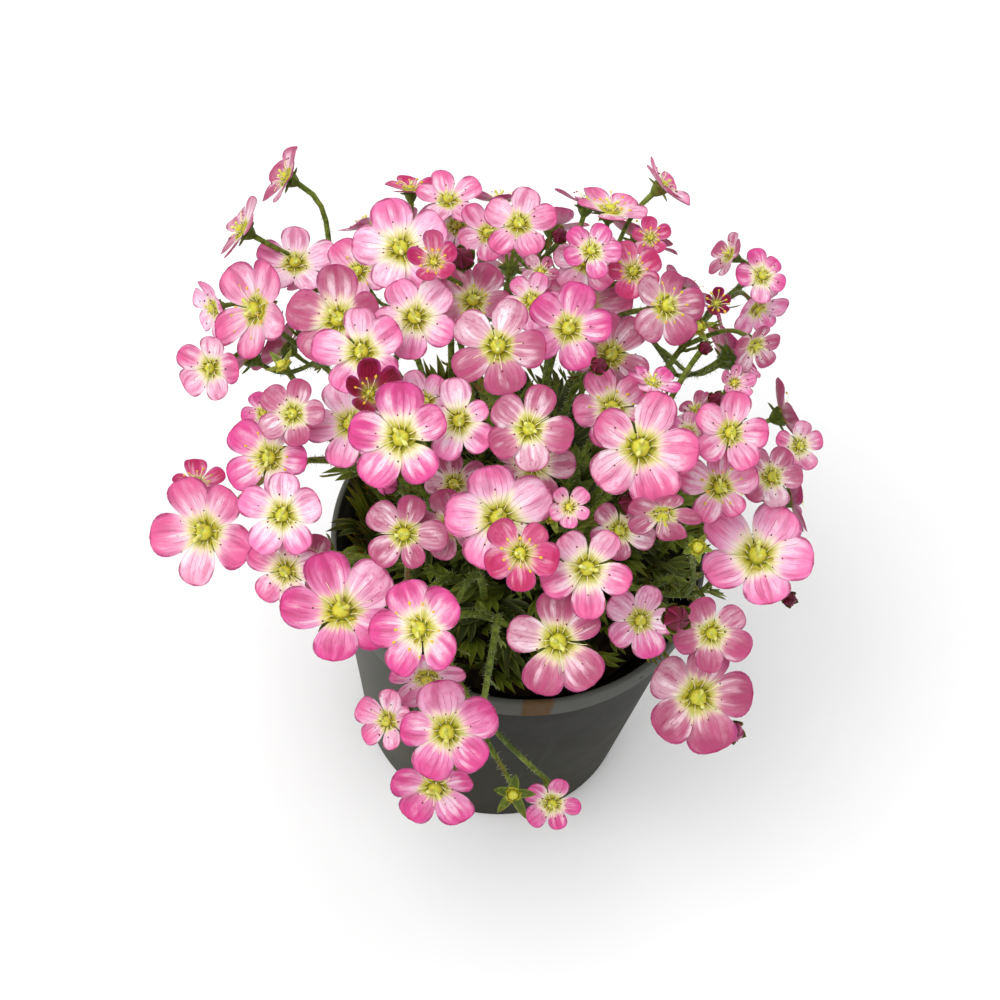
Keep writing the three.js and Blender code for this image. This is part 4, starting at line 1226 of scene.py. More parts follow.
def petal_shader(name, middle, tip, look, young=0.0):
    """Cream at the throat, yellow-green at the foot, pink outwards, with streaks, veins and a dark rim.

    The petal's own attribute gives the distance from the bloom's middle, as a part of its radius, and
    the place from one edge to the other, so that streaks and veins fan out along it. Some pale streaks on
    the crests of the folds are painted highlight, and darker pink in the folds' troughs and on the
    underside is painted shade. The dark rim is partly the petal's own margin and partly painted shadow
    where petals overlap. Young petals, from 0 to 1, have less of the pale marks.
    """
    s = Shader(name, Subsurface_Weight=0.25, Subsurface_Scale=0.0012, Specular_IOR_Level=0.25)
    s.skin.inputs["Subsurface Radius"].default_value = (1.0, 0.45, 0.6)
    along, across, side = s.attribute("place")
    deep, mood, seed = s.attribute("tint")
    wide = abs(across)
    streaks = s.noise(s.vector(across * 3.4 + seed * 37, along * 0.8, seed * 19), 1.7, 3.0, 0.65)
    folds = s.noise(s.vector(across * 1.5 + seed * 23, along * 0.6, seed * 41), 1.6, 1.0)
    cloud = s.noise(s.vector(across * 0.8 + seed * 11, along * 1.5, seed * 53), 2.0, 2.0)
    flush = along + (streaks - 0.5) * 0.5 + (cloud - 0.5) * 0.7 + (deep - 0.5) * 0.25
    colour = s.mix(s.step(flush, 0.46, 1.0), middle, tip)
    # Painted highlight: pale streaks on the crests of the folds. The pallor is the petal's own paler tone.
    light = s.step(folds, 0.52, 0.68) * (1 - s.step(along, 0.6, 0.95))
    pallor = 1 - s.step(deep, 0.08, 0.4)
    colour = s.mix((light * 0.65 + pallor * 0.35) * (1 - young), colour, look.blush_and_highlight)
    # Painted shade: darker pink in the troughs between the folds
    shade = (1 - s.step(folds, 0.3, 0.5)) * s.step(along, 0.35, 0.6)
    colour = s.mix(shade * 0.6 * (1 - young), colour, look.vein_and_shade_pink)
    throat = 1 - s.step(along + (streaks - 0.5) * 0.36 + (mood - 0.4) * 0.2, 0.25, 0.48)
    colour = s.mix(throat * 0.85 * (1 - 0.9 * young), colour, look.throat)
    base = 1 - s.step(along + (streaks - 0.5) * 0.16, 0.22, 0.38)
    colour = s.mix(base * 0.85 * (1 - 0.4 * young), colour, look.foot)
    bend = (s.noise(s.vector(across * 1.1, along * 2.2, seed * 31), 1.3, 2.0) - 0.5) * 0.9
    comb = s.maths("PINGPONG", across * 3.6 + 0.5 + bend, 0.5)
    ends = s.noise(s.vector(across * 3.0, seed * 17, 0.3), 1.5, 1.0) * 0.8 + 0.34
    vein = (1 - s.step(comb, 0.012, 0.09)) * (1 - s.step(along - ends, -0.08, 0.12))
    pale = 1 - s.step(along, 0.36, 0.5)
    faint = 0.25 + s.step(streaks, 0.4, 0.6) * 0.75
    colour = s.mix(vein * pale * faint * 0.6, colour, look.green_vein)
    colour = s.mix(vein * (1 - pale) * faint * 0.75, colour, look.vein_and_shade_pink)
    # Dark rim: partly the petal's own margin, partly painted shadow where petals overlap
    outer = s.step(along, 0.42, 0.72)
    edge = s.maths("MAXIMUM", wide**3 * outer, along**10) + (cloud - 0.5) * 0.3 * outer
    colour = s.mix(s.step(edge, 0.25, 0.9) * 0.35, colour, look.vein_and_shade_pink)
    colour = s.mix(s.step(edge, 0.55, 0.82) * 0.9, colour, look.rim)
    mottle = s.noise(s.vector(across * 2.5 + seed * 71, along * 3.5, seed * 5), 2.2, 3.0, 0.7)
    colour = s.mix(s.step(mottle, 0.48, 0.68) * s.step(along, 0.4, 0.7) * 0.6, colour, tip)
    # Painted shade: the underside of each petal is darker pink
    back = s.step(side * -1, 0.1, 0.5)
    colour = s.mix(back * 0.35 * (1 - young), colour, look.vein_and_shade_pink)
    specks = s.cells(s.vector(across * 2.0 + seed * 91, along * 3.2, seed * 7), 1.7)
    colour = s.mix((1 - s.step(specks, 0.03, 0.05)) * s.step(seed, 0.35, 0.4), colour, look.anther_old)
    height = vein * -0.4 + streaks * 0.7 + s.noise(s.place(), 2600.0, 2.0) * 0.3
    return s.coat(colour, 0.45 + streaks * 0.2, height, depth=0.00025, strength=0.6)


def green_shader(name, look, redness):
    """A mottled green skin, lighter along its edges, partly hairs and partly painted highlight.

    It has painted shade along the midrib's groove and a reddish bloom in patches.
    """
    s = Shader(name, Subsurface_Weight=0.1, Subsurface_Scale=0.001, Specular_IOR_Level=0.22)
    across = abs(s.attribute("place")[1])
    mottle = s.noise(s.place(), 900.0, 3.0, 0.6)
    patch = s.noise(s.place(), 90.0, 2.0)
    tone = s.step(mottle + (patch - 0.5) * 0.8, 0.3, 0.75)
    colour = s.mix(tone, look.stem_dark, look.stem_light)
    # Pale edges: partly hairs, partly painted highlight
    colour = s.mix(s.step(across, 0.55, 1.0) * 0.45, colour, look.stem_light)
    # Painted shade along the midrib's groove
    midrib = 1 - s.step(across, 0.0, 0.16)
    colour = s.mix(midrib * 0.3, colour, look.stem_dark)
    colour = s.mix(s.step(patch, 0.55, 0.72) * redness, colour, look.flush)
    height = mottle * 0.6 - midrib * 0.5
    return s.coat(colour, 0.45 + mottle * 0.2, height, depth=0.00025, strength=0.6)


def leaf_shader(look):
    """Each leaf has its own green, with painted shade near black at the foot and along its groove.

    The edges of its lobes' tips are pale: partly hairs and partly painted highlight.
    """
    s = Shader("leaf_green", Subsurface_Weight=0.08, Subsurface_Scale=0.001, Specular_IOR_Level=0.2)
    along, across, shade = s.attribute("place")
    mottle = s.noise(s.place(), 800.0, 3.0, 0.6)
    patch = s.noise(s.place(), 70.0, 2.0)
    tone = shade + (mottle - 0.5) * 0.5 + (patch - 0.5) * 0.8
    colour = s.mix(s.step(tone, 0.25, 0.95), look.leaf_dark, look.leaf_light)
    # Pale edges of the lobes' tips: partly hairs, partly painted highlight
    edge = s.step(abs(across), 0.6, 1.0) * s.step(along, 0.35, 0.8)
    colour = s.mix(edge * 0.5, colour, look.leaf_edge)
    # Painted shade along the groove down each lobe's middle
    groove = 1 - s.step(abs(across), 0.0, 0.2)
    colour = s.mix(groove * 0.35, colour, look.leaf_shade)
    # Painted shade: near black towards the leaf's foot, deep in the cushion
    foot = 1 - s.step(along + (patch - 0.5) * 0.3, 0.25, 0.75)
    colour = s.mix(foot * 0.85, colour, look.leaf_shade)
    height = mottle * 0.6 - groove * 0.5
    return s.coat(colour, 0.34 + mottle * 0.2, height, depth=0.00025, strength=0.6)


def flesh_shader(look):
    """The wet-looking green of the ovary and its nectary ring.

    The groove between them is darker with painted shade.
    """
    s = Shader("ovary_green", Subsurface_Weight=0.3, Subsurface_Scale=0.0015)
    along, across, seed = s.attribute("place")
    mottle = s.noise(s.place(), 1500.0, 2.0)
    tone = s.step(along * 0.6 + mottle * 0.8 + seed * 0.4, 0.4, 1.2)
    colour = s.mix(tone, look.nectary, look.ovary)
    # Painted shade in the groove between the ring and the ovary
    ditch = (1 - s.step(abs(along - 0.5), 0.08, 0.27)) * (0.5 + across * 0.5)
    colour = s.mix(ditch * 0.75, colour, look.groove)
    return s.coat(colour, 0.28 + mottle * 0.25, mottle)


def plain_shader(name, one, other, scale, roughness, **fixed):
    """A colour that wanders between two over the piece, for threads, hairs and grains."""
    s = Shader(name, **fixed)
    wander = s.noise(s.place(), scale, 2.0)
    colour = s.mix(s.step(wander, 0.35, 0.65), one, other)
    return s.coat(colour, roughness + wander * 0.15, wander)


def colour(name, text, value):
    """A colour that a user can change, with its red, green and blue from 0 to 1."""
    return FloatVectorProperty(name=name, description=text, default=value, subtype="COLOR", min=0, max=1)


class BloomLook(bpy.types.PropertyGroup):
    """Sizes and colours of the blooms."""

    petal_width: FloatProperty(
        name="Petal width",
        description="Half width of a petal, as a part of the bloom's radius",
        default=0.395,
        min=0.2,
        max=0.7,
    )
    pale_middle: colour("Pale petal", "Middle of the palest petals", (0.87, 0.46, 0.65))
    pale_tip: colour("Pale tip", "Tips of the palest petals", (0.77, 0.17, 0.38))
    mid_middle: colour("Pink petal", "Middle of the pink petals", (0.78, 0.36, 0.52))
    mid_tip: colour("Pink tip", "Tips of the pink petals", (0.68, 0.11, 0.28))
    bright_middle: colour("Bright petal", "Middle of the brightest petals", (0.73, 0.25, 0.45))
    bright_tip: colour("Bright tip", "Tips of the brightest petals", (0.6, 0.055, 0.24))
    # Darker blooms: partly their own deeper tone, partly painted shade of blooms lying in others' shadow
    dusky_middle: colour("Dusky petal", "Middle of the dusky petals", (0.52, 0.2, 0.29))
    dusky_tip: colour("Dusky tip", "Tips of the dusky petals", (0.34, 0.055, 0.13))
    hot_middle: colour("Young petal", "Middle of the youngest petals", (0.57, 0.065, 0.2))
    hot_tip: colour("Young tip", "Tips of the youngest petals", (0.4, 0.012, 0.085))
    crimson_middle: colour("Bud", "Petals of the buds", (0.2, 0.004, 0.025))
    crimson_tip: colour("Bud tip", "Tips of the buds", (0.08, 0.002, 0.01))
    # The petals' own pale tone, and the painted highlight on the crests of their folds
    blush_and_highlight: colour("Blush", "Pale streaks along the petals", (0.93, 0.72, 0.8))
    throat: colour("Throat", "Cream ring round a bloom's middle", (0.91, 0.82, 0.58))
    foot: colour("Petal foot", "Yellow-green at a petal's foot", (0.52, 0.5, 0.035))
    green_vein: colour("Green veins", "Veins in the throat", (0.2, 0.15, 0.012))
    # Veins, and the darker pink of the painted shade in the folds, near the rim and on the underside
    vein_and_shade_pink: colour("Pink veins", "Veins further out", (0.42, 0.04, 0.15))
    # Partly the petal's own dark margin, partly painted shadow where petals overlap
    rim: colour("Rim", "Thin dark line round a petal", (0.26, 0.01, 0.07))
    ovary: colour("Ovary", "Top of the ovary", (0.56, 0.54, 0.03))
    nectary: colour("Nectary", "Ring round the ovary", (0.44, 0.42, 0.01))
    # Painted shade in the groove between ring and ovary
    groove: colour("Groove", "Groove between ring and ovary", (0.07, 0.08, 0.002))
    style: colour("Style", "The two horns on the ovary", (0.75, 0.76, 0.22))
    filament: colour("Filament", "Threads of the stamens", (0.82, 0.76, 0.25))
    anther_young: colour("Young anther", "Pollen of fresh blooms", (0.85, 0.42, 0.03))
    anther_old: colour("Old anther", "Anthers that have shed", (0.09, 0.02, 0.015))


class GreenLook(bpy.types.PropertyGroup):
    """Sizes and colours of the stems, calyxes and leaves."""

    rosettes: IntProperty(
        name="Rosettes", description="Rosettes of leaves in the cushion", default=72, min=1, max=200
    )
    leaves_each: IntProperty(name="Leaves", description="Leaves in each rosette", default=7, min=1, max=20)
    leaf_length: FloatProperty(
        name="Leaf length", description="Longest leaf, in millimetres", default=17.0, min=4.0, max=30.0
    )
    hair_length: FloatProperty(
        name="Hair length", description="Hairs on the stems, in millimetres", default=1.1, min=0.1, max=3.0
    )
    hair_spacing: FloatProperty(
        name="Hair spacing",
        description="Stem length for each hair, in millimetres",
        default=0.3,
        min=0.1,
        max=5.0,
    )
    # Near black painted shade at the leaves' feet and along their grooves
    leaf_shade: colour("Deep leaf", "Near black of the leaves' feet and grooves", (0.006, 0.01, 0.002))
    leaf_dark: colour("Dark leaf", "Darker leaves", (0.03, 0.045, 0.004))
    leaf_light: colour("Light leaf", "Lighter leaves", (0.13, 0.18, 0.012))
    # Hairs along the leaves' edges, and painted highlight on them
    leaf_edge: colour("Leaf edge", "Hairy edges and tips of the leaves", (0.25, 0.31, 0.055))
    stem_dark: colour("Stem", "Darkest green of the stems", (0.06, 0.09, 0.008))
    stem_light: colour("Stem light", "Lightest green of the stems", (0.2, 0.27, 0.03))
    flush: colour("Red flush", "Reddish bloom on stems and calyxes", (0.14, 0.03, 0.02))
    hair: colour("Hair", "Hairs on the stems", (0.5, 0.55, 0.3))


class PotLook(bpy.types.PropertyGroup):
    """Colours of the pot and its compost."""

    sides: IntProperty(name="Sides", description="Facets round the pot", default=144, min=12, max=360)
    # The wall's grey plastic, darkened with painted shade
    wall: colour("Wall", "Grey plastic of the wall", (0.016, 0.0155, 0.0125))
    foot: colour("Foot", "Olive tinge low on the wall", (0.021, 0.0205, 0.012))
    # The lip's plastic, painted paler than the wall as painted light
    lip: colour("Lip", "Scuffed plastic of the lip", (0.09, 0.094, 0.084))
    # Painted highlight on one shoulder of the pot
    side_highlight: colour("Film", "Chalky film on one shoulder", (0.14, 0.143, 0.118))
    dirt: colour("Dirt", "Dried compost on the plastic", (0.11, 0.062, 0.025))
    compost: colour("Compost", "Dark peat", (0.006, 0.0045, 0.003))
    fibre: colour("Fibre", "Lighter grains in the compost", (0.022, 0.014, 0.007))


class StageLook(bpy.types.PropertyGroup):
    """Floor and lights of the studio."""

    floor: colour("Floor", "Pale floor", (0.9, 0.9, 0.9))
    sky: FloatProperty(name="Sky", description="Strength of the even light", default=0.56, min=0)
    key: FloatProperty(name="Key", description="Power of the large lamp", default=6.6, min=0, unit="POWER")


class Saxifrage(bpy.types.PropertyGroup):
    """Everything that a user would change."""

    bloom: PointerProperty(type=BloomLook, name="Blooms", description="Blooms")
    green: PointerProperty(type=GreenLook, name="Greenery", description="Stems, calyxes and leaves")
    pot: PointerProperty(type=PotLook, name="Pot", description="Pot and compost")
    stage: PointerProperty(type=StageLook, name="Stage", description="Floor and lights")


TONES = ("pale", "mid", "bright", "dusky", "hot", "crimson")
YOUNG = {"hot": 0.5, "crimson": 1.0}


def heads_of(*kinds):
    """The plant's heads of some kinds, in their order."""
    return [head for head in plant()[0] if head.kind in kinds]


class SAXIFRAGE_OT_petals(bpy.types.Operator):
    """Makes the petals, in one piece for each tone of pink"""

    bl_idname = "saxifrage.petals"
    bl_label = "Petals"

    def execute(self, context):
        look = context.scene.saxifrage.bloom
        for tone in TONES:
            middle, tip = getattr(look, tone + "_middle"), getattr(look, tone + "_tip")
            shader = petal_shader("petal_" + tone, middle, tip, look, YOUNG.get(tone, 0.0))
            shapes = Shapes("place", "tint")
            open_heads = [head for head in heads_of("open", "cup") if head.tone == tone]
            if open_heads:
                points, place, tint = petals(open_heads, look)
                shapes.add(points, PETAL["rows"], PETAL["ring"], place=place, tint=tint)
            buds = [head for head in heads_of("bud") if head.tone == tone]
            if buds:
                points, place, rows = bud_petals(buds)
                shapes.add(points, rows, SEPAL["ring"], place=place, tint=0.5)
            shapes.build("petals_" + tone, shader)
        return {"FINISHED"}


class SAXIFRAGE_OT_middles(bpy.types.Operator):
    """Makes the ovaries with their nectary rings and their two styles"""

    bl_idname = "saxifrage.middles"
    bl_label = "Ovaries and styles"

    def execute(self, context):
        look = context.scene.saxifrage.bloom
        heads = heads_of("open", "cup")
        spent = heads_of("spent")
        shapes = Shapes("place")
        for group, swell in ((heads, 1.0), (spent, 1.5)):
            points, place, rows, ring = hearts(group, swell)
            shapes.add(points, rows, ring, place=place)
        shapes.build("ovaries", flesh_shader(look))
        shapes = Shapes()
        points, rows, ring = styles(heads + spent)
        shapes.add(points, rows, ring)
        shader = plain_shader("style_green", look.style, look.ovary, 1200.0, 0.35, Subsurface_Weight=0.2)
        shapes.build("styles", shader)
        return {"FINISHED"}


class SAXIFRAGE_OT_stamens(bpy.types.Operator):
    """Makes ten stamens for each bloom, with fresh anthers in the young ones and shed ones in the rest"""

    bl_idname = "saxifrage.stamens"
    bl_label = "Stamens"

    def execute(self, context):
        look = context.scene.saxifrage.bloom
        heads = heads_of("open", "cup")
        paths, number = stamen_paths(heads)
        shapes = Shapes()
        shapes.add(*filaments(paths))
        shader = plain_shader(
            "filament_cream", look.filament, look.throat, 900.0, 0.45, Subsurface_Weight=0.2
        )
        shapes.build("filaments", shader)
        young = np.repeat([head.tone in ("hot", "crimson") or head.number % 7 == 3 for head in heads], 10)
        tips, ahead = paths[:, -1], unit(paths[:, -1] - paths[:, -2])
        for name, chosen, size, one, other in (
            ("anthers_young", young, 0.36, look.anther_young, look.foot),
            ("anthers_old", ~young & (draw(number + 99) < 0.8), 0.23, look.anther_old, look.rim),
        ):
            shapes = Shapes()
            count = int(chosen.sum())
            long = size * (0.8 + 0.5 * draw(number[chosen] + 97))
            shapes.add(*beads(tips[chosen], ahead[chosen], long, 0.72 * long))
            shader = plain_shader(name, one, other, 1500.0, 0.5)
            shapes.build(name, shader)
        return {"FINISHED"}


class SAXIFRAGE_OT_calyxes(bpy.types.Operator):
    """Makes a cup and five sepals under every bloom, and those that hug the buds"""

    bl_idname = "saxifrage.calyxes"
    bl_label = "Calyxes"

    def execute(self, context):
        look = context.scene.saxifrage.green
        shapes = Shapes("place")
        blooms, spent, buds = heads_of("open", "cup"), heads_of("spent"), heads_of("bud")
        points, rows, ring = calyx_cups(blooms + spent)
        shapes.add(points, rows, ring, place=0.0)
        points, place = sepals(blooms, 0.36, 0.12, 0.13, -0.05)
        shapes.add(points, SEPAL["rows"], SEPAL["ring"], place=place)
        points, place = sepals(spent, 0.92, 0.3, 0.02, 0.25)
        shapes.add(points, SEPAL["rows"], SEPAL["ring"], place=place)
        points, rows = bud_sepals(buds)
        shapes.add(points, rows, SEPAL["ring"], place=0.0)
        shapes.build("calyxes", green_shader("calyx_green", look, 0.7))
        return {"FINISHED"}


class SAXIFRAGE_OT_stems(bpy.types.Operator):
    """Makes the stems and their branches, with hairs all over them and small leaves up them"""

    bl_idname = "saxifrage.stems"
    bl_label = "Stems"

    def execute(self, context):
        look = context.scene.saxifrage.green
        sprays = plant()[1]
        rng = np.random.default_rng(7)
        main, side = spray_paths(sprays)
        shapes = Shapes("place")
        fuzz = Shapes()
        for paths, thick, ring in ((main, STEM["radius"], 9), (side, STEM["tip"] * 1.05, 7)):
            points, radii, aside, other = stem_tubes(paths, thick, STEM["tip"] * 0.92, ring)
            shapes.add(points, paths.shape[1], ring, place=0.3)
            fuzz.add(*stem_hairs(paths, radii, aside, other, look, rng))
        frames = stem_leaves(sprays, rng)
        for heading, length, wide in ((0.0, 1.0, 0.085), (0.6, 0.5, 0.06), (-0.6, 0.5, 0.06)):
            start = 0.0 if heading == 0 else 0.42
            points, place = lobe(frames, start, heading, length, wide, 0.6, -0.2)
            shapes.add(points, LOBE["rows"], LOBE["ring"], place=place)
        nodes = [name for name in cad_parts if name.startswith("spray_")]
        shapes.build("stems", green_shader("stem_green", look, 0.75), nodes)
        shader = plain_shader("hair_green", look.hair, look.stem_light, 300.0, 0.4)
        fuzz.build("stem_hairs", shader, crease=180)
        return {"FINISHED"}


class SAXIFRAGE_OT_leaves(bpy.types.Operator):
    """Makes the cushion's rosettes of lobed leaves, some of which spill over the rim"""

    bl_idname = "saxifrage.leaves"
    bl_label = "Leaves"

    def execute(self, context):
        look = context.scene.saxifrage.green
        rng = np.random.default_rng(21)
        frames, spills = rosette_leaves(look, rng)
        shade = rng.uniform(0, 1, len(spills))
        shapes = Shapes("place")
        for heading, start, length, wide, every in (
            (0.0, 0.0, 1.0, 0.085, 1),
            (0.5, 0.44, 0.46, 0.064, 1),
            (-0.5, 0.44, 0.46, 0.064, 1),
            (0.95, 0.4, 0.3, 0.05, 3),
            (-0.95, 0.4, 0.3, 0.05, 3),
        ):
            some = [part[::every] for part in frames]
            points, place = lobe(some, start, heading, length, wide, 0.42, -0.34)
            over = spills[::every, None, None]
            points = np.where(over, over_rim(points), keep_in_pot(points))
            place = np.repeat(place, len(over), axis=0)
            place[..., 0] = start + place[..., 0] * length
            place[..., 2] = shade[::every, None]
            shapes.add(points, LOBE["rows"], LOBE["ring"], place=place)
        shapes.build("leaves", leaf_shader(look), ["leaf_mound"])
        return {"FINISHED"}


def core_points(rows=16, ring=72):
    """The cushion's core: its height falls with the square of the radius, roughened by crossed waves."""
    part = np.linspace(0.03, 1, rows)[:, None]
    angle = turns(ring)
    radius = part * (MOUND["radius"] - CORE["inset"])
    waves = np.sin(9 * angle + 14 * part) * np.sin(23 * part + 3 * angle)
    bumps = waves + 0.6 * np.sin(21 * angle - 9 * part)
    height = mound_top(radius) - CORE["sunk"] + CORE["rough"] * bumps * part
    top, bottom = UP * (mound_top(0) - CORE["sunk"]), UP * (SOIL_TOP + GAP)
    return poled(round_axis(radius, angle, height)[None], top, bottom), rows, ring


def soil_points(rows=14, ring=96):
    """The compost: a low dome of crossed ripples on top, then down its side to a flat underside."""
    inner = wall_radius(SOIL_TOP) - POT["wall"] - GAP
    top = np.linspace(0.05, 1, rows - 3)
    radius = np.concatenate([top, [1.0, 0.9, 0.4]])[:, None] * inner
    angle = turns(ring)
    ripple = 0.35 * np.sin(17 * angle + radius) * np.sin(0.9 * radius - 5 * angle)
    under = POT["floor"] + GAP
    base = np.concatenate([SOIL_TOP - 0.6 * top, [POT["floor"] + 30, under, under]])
    narrow = (wall_radius(base) - POT["wall"] - 2 * GAP) / inner
    radius = np.minimum(radius, (narrow * inner)[:, None])
    height = base[:, None] + np.where(base[:, None] > SOIL_TOP - 1, ripple, 0)
    rings = round_axis(radius, angle, height)[None]
    return poled(rings, UP * SOIL_TOP, UP * under), rows, ring


def wall_radius(height):
    """Radius of the pot's outer wall under the lip, at a height."""
    slope = (POT["rim"] - POT["step"] - POT["base"]) / (POT["height"] - POT["lip"])
    return POT["base"] + slope * np.minimum(height, POT["height"] - POT["lip"])


class SAXIFRAGE_OT_compost(bpy.types.Operator):
    """Makes the compost, with loose grains round its edge, and the dark core of the cushion"""

    bl_idname = "saxifrage.compost"
    bl_label = "Compost"

    def execute(self, context):
        look = context.scene.saxifrage.pot
        rng = np.random.default_rng(5)
        shapes = Shapes()
        for points, rows, ring in (soil_points(), core_points()):
            shapes.add(points, rows, ring)
        count = GRAINS["count"]
        angle = rng.uniform(0, 2 * math.pi, count)
        outer = wall_radius(SOIL_TOP) - POT["wall"] - GRAINS["margin"]
        radius = rng.uniform(GRAINS["inner"], outer, count)
        centres = round_axis(radius, angle, SOIL_TOP + rng.uniform(0, GRAINS["rise"], count))
        size = rng.uniform(GRAINS["small"], GRAINS["large"], count)
        shapes.add(*beads(centres, unit(rng.standard_normal((count, 3))), size, 0.7 * size))
        shader = plain_shader("compost_dark", look.compost, look.fibre, 420.0, 0.85, Specular_IOR_Level=0.1)
        shapes.build("compost", shader, ["soil"])
        return {"FINISHED"}


def rounded(corners, steps=5):
    """A profile through corners of radius and height, each with its own rounding, turned by an arc."""
    points = []
    for k, (radius, height, bend) in enumerate(corners):
        here = np.array([radius, height], float)
        if bend == 0:
            points.append(here)
            continue
        before, after = np.array(corners[k - 1][:2], float), np.array(corners[k + 1][:2], float)
        start, end = here + bend * unit(before - here), here + bend * unit(after - here)
        for t in np.linspace(0, 1, steps):
            points.append((1 - t) ** 2 * start + 2 * t * (1 - t) * here + t * t * end)
    return np.array(points)


def pot_points(sides):
    """The pot: its profile of radius and height turned round the axis, from the foot to the inner floor."""
    under = POT["height"] - POT["lip"]
    inner_rim = POT["rim"] - POT["wall"]
    inner_wall = wall_radius(under) - POT["wall"]
    profile = rounded(
        [
            (3.0, 0.0, 0),
            (POT["base"] - 3.2, 0.0, 0),
            (POT["base"] - 2.6, 0.5, 0.2),
            (POT["base"], 0.0, POT["round"]),
            (wall_radius(under), under, 0.4),
            (POT["rim"], under, 0.6),
            (POT["rim"], POT["height"], 0.68),
            (inner_rim, POT["height"], 0.68),
            (inner_rim - 0.3, under + 0.4, 0.5),
            (inner_wall, under - POT["wall"], 0.5),
            (wall_radius(POT["floor"]) - POT["wall"], POT["floor"], 1.2),
            (3.0, POT["floor"], 0),
        ]
    )
    rings = round_axis(profile[:, None, 0], turns(sides), profile[:, None, 1])[None]
    return poled(rings, 0 * UP, UP * POT["floor"]), len(profile), sides


def smear_place():
    """Where the brown smear lies: the point of the lip that is seen at its place in the picture."""
    line = sight_line(SMEAR["x"], SMEAR["y"])
    point = EYE + line * (POT["height"] - 2 - EYE[2]) / line[2]
    heading = unit(point * np.array([1, 1, 0]))
    return (heading * POT["rim"] + UP * (POT["height"] - 2.5)) * MM


def pot_shader(look):
    """Grey plastic: a wall darkened with painted shade, a cooler lip whose paleness is painted light,
    painted shadow under the lip, a painted highlight on one shoulder, slow mottling, upright scuffs,
    dried drips and a brown smear.
    """
    s = Shader("pot_plastic", Specular_IOR_Level=0.05)
    place = s.place()
    x, y, z = s.parts(place)
    mottle = s.noise(place, 55.0, 4.0, 0.6)
    fine = s.noise(place, 900.0, 2.0)
    scuffs = s.noise(s.vector(x * 260, y * 260, z * 28), 1.0, 3.0, 0.7)
    under = (POT["height"] - POT["lip"]) * MM
    # Painted shade darkens the wall, and painted light makes the lip paler than the wall
    colour = s.mix(s.step(z, 0.02, 0.06), look.foot, look.wall)
    colour = s.mix(s.step(z, under - 0.0004, under), colour, look.lip)
    # Painted shadow: a dark band just under the lip's step, in the compost's colour
    line = s.step(z, under - 0.003, under - 0.0006) * (1 - s.step(z, under, under + 0.0006))
    colour = s.mix(line * 0.55, colour, look.compost)
    colour = s.mix(s.step(scuffs, 0.56, 0.75) * 0.1, colour, look.lip)
    # Painted highlight: a paler patch on the pot's left shoulder, where the light falls
    side_highlight = s.step(x * -1 + (mottle - 0.5) * 0.03, 0.005, 0.045)
    colour = s.mix(side_highlight * 0.6, colour, look.side_highlight)
    colour = s.mix(s.step(mottle, 0.55, 0.8) * 0.15, colour, look.dirt)
    middle = smear_place()
    aside = (x - middle[0]) ** 2 + (y - middle[1]) ** 2
    reach = aside**0.5 + (mottle - 0.5) * 0.003
    on_lip = s.step(z, under - 0.0005, under + 0.0005)
    stain = (1 - s.step(reach, 0.003, 0.0042)) * on_lip * (0.55 + fine * 0.6)
    colour = s.mix(stain, colour, look.dirt)
    specks = s.cells(place, 95.0)
    colour = s.mix((1 - s.step(specks, 0.05, 0.1)) * s.step(mottle, 0.4, 0.5) * 0.8, colour, look.compost)
    height = fine * 0.4 + scuffs * 0.3 + stain
    return s.coat(colour, 0.42 + mottle * 0.2 + stain * 0.3, height, depth=0.0002, strength=0.35)


class SAXIFRAGE_OT_pot(bpy.types.Operator):
    """Turns the pot's profile, cuts the drainage holes and finishes the plastic"""

    bl_idname = "saxifrage.pot"
    bl_label = "Pot"

    def execute(self, context):
        look = context.scene.saxifrage.pot
        shapes = Shapes()
        points, rows, ring = pot_points(look.sides)
        shapes.add(points, rows, ring)
        pot = shapes.build("flower_pot", pot_shader(look), ["pot"], crease=40)
        centres = round_axis(DRAIN["ring"], turns(DRAIN["count"]), 0)
        paths = centres[:, None] + UP * np.array([-POT["floor"], 2 * POT["floor"]])[:, None]
        ring = 32
        rings, _, _ = carried(paths, np.full((len(paths), 2), float(DRAIN["radius"])), ring)
        cutters = Shapes()
        cutters.add(poled(rings, paths[:, :1], paths[:, -1:]), 2, ring)
        cutter = cutters.build("drain_cutter", Shader("cutter"))
        cut = pot.modifiers.new("holes", "BOOLEAN")
        cut.object = cutter
        graph = context.evaluated_depsgraph_get()
        pot.data = bpy.data.meshes.new_from_object(pot.evaluated_get(graph))
        pot.modifiers.clear()
        bpy.data.objects.remove(cutter)
        return {"FINISHED"}


def placed(name, data, across, above, toward, point):
    """An object whose three directions and place are given, linked to the scene."""
    body = bpy.data.objects.new(name, data)
    axes = np.eye(4)
    axes[:3, :3] = np.stack([across, above, toward], 1)
    axes[:3, 3] = point
    body.matrix_world = Matrix(axes)
    bpy.context.scene.collection.objects.link(body)
    return body


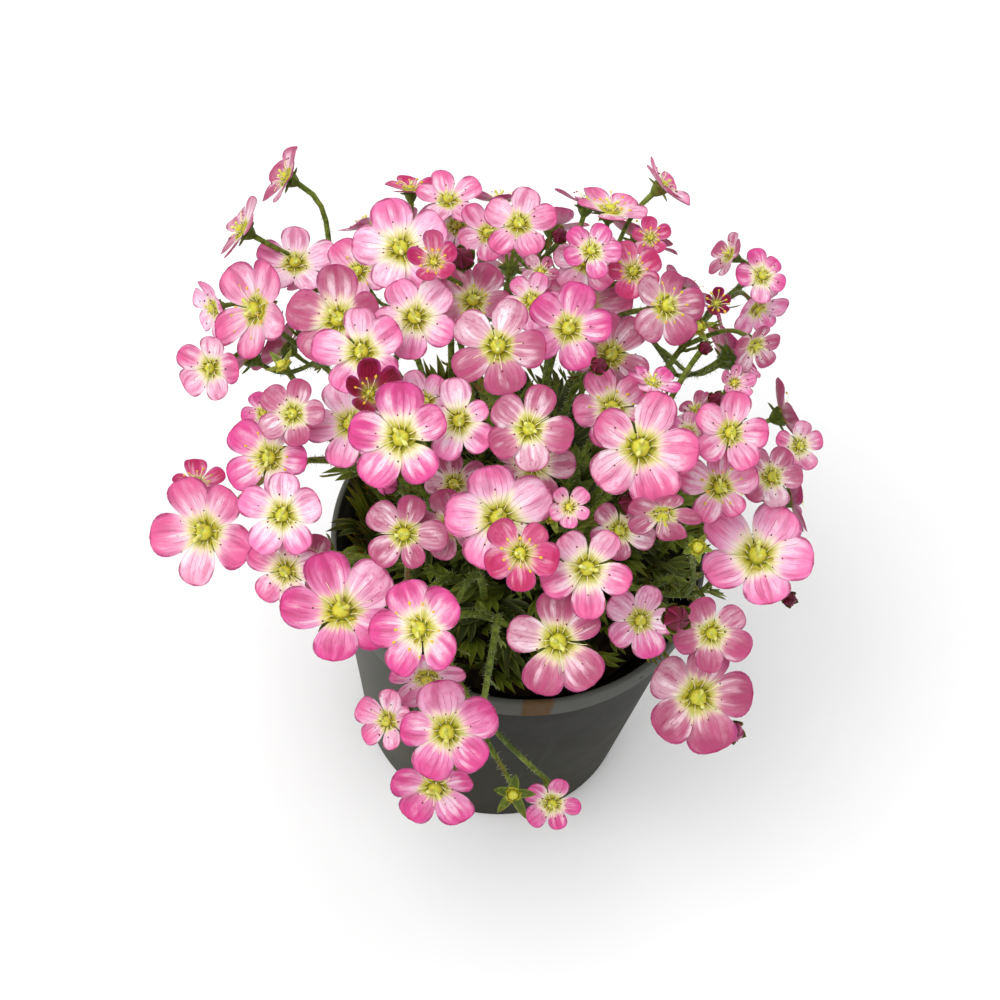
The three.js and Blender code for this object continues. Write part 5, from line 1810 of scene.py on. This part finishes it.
class SAXIFRAGE_OT_stage(bpy.types.Operator):
    """Sets the floor, the soft lights and the camera"""

    bl_idname = "saxifrage.stage"
    bl_label = "Stage"

    def execute(self, context):
        look = context.scene.saxifrage.stage
        scene = context.scene
        bpy.ops.mesh.primitive_plane_add(size=8, location=(0, 0, -0.0002))
        floor = context.object
        floor.name = "floor"
        s = Shader("floor_pale", Specular_IOR_Level=0.1)
        cloud = s.noise(s.place(), 3.0, 2.0)
        s.coat(s.mix(cloud, look.floor, [0.985 * part for part in look.floor]), 0.9 + cloud * 0.05)
        floor.data.materials.append(s.material)
        world = bpy.data.worlds.new("soft_sky")
        world.use_nodes = True
        sky = world.node_tree.nodes["Background"].inputs
        sky["Color"].default_value = (1, 1, 1, 1)
        sky["Strength"].default_value = look.sky
        scene.world = world
        for name, heading, climb, away, size, share in LAMPS:
            lamp = bpy.data.lights.new(name, "AREA")
            lamp.energy = look.key * share
            lamp.size = size
            heading, climb = math.radians(heading), math.radians(climb)
            toward = round_axis(math.cos(climb), heading, math.sin(climb))
            side = unit(np.cross(UP, toward))
            point = toward * away + UP * POT["height"] * MM
            placed(name, lamp, side, np.cross(toward, side), toward, point)
        lens = bpy.data.cameras.new("view")
        lens.sensor_width = 36
        lens.lens = VIEW["focal"] * lens.sensor_width / (2 * VIEW["middle"])
        lens.clip_start = 0.01
        scene.camera = placed("view", lens, ACROSS, ABOVE, -FORWARD, EYE * MM)
        scene.view_settings.view_transform = "Standard"
        return {"FINISHED"}


PIECES = (
    SAXIFRAGE_OT_pot,
    SAXIFRAGE_OT_compost,
    SAXIFRAGE_OT_leaves,
    SAXIFRAGE_OT_stems,
    SAXIFRAGE_OT_calyxes,
    SAXIFRAGE_OT_petals,
    SAXIFRAGE_OT_middles,
    SAXIFRAGE_OT_stamens,
    SAXIFRAGE_OT_stage,
)


class SAXIFRAGE_PT_panel(bpy.types.Panel):
    """Lists the pieces, with the sizes and colours that they read"""

    bl_label = "Mossy saxifrage"
    bl_space_type = "VIEW_3D"
    bl_region_type = "UI"
    bl_category = "Saxifrage"

    def draw(self, context):
        column = self.layout.column()
        for piece in PIECES:
            column.operator(piece.bl_idname)
        looks = context.scene.saxifrage
        for group in (looks.bloom, looks.green, looks.pot, looks.stage):
            box = column.box()
            for name in group.__annotations__:
                box.prop(group, name)


CLASSES = (BloomLook, GreenLook, PotLook, StageLook, Saxifrage, *PIECES, SAXIFRAGE_PT_panel)


def register():
    for item in CLASSES:
        bpy.utils.register_class(item)
    bpy.types.Scene.saxifrage = PointerProperty(type=Saxifrage)


def unregister():
    del bpy.types.Scene.saxifrage
    for item in reversed(CLASSES):
        bpy.utils.unregister_class(item)


def main():
    register()
    for piece in PIECES:
        group, name = piece.bl_idname.split(".")
        getattr(getattr(bpy.ops, group), name)()
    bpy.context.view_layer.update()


if __name__ == "__main__":
    main()
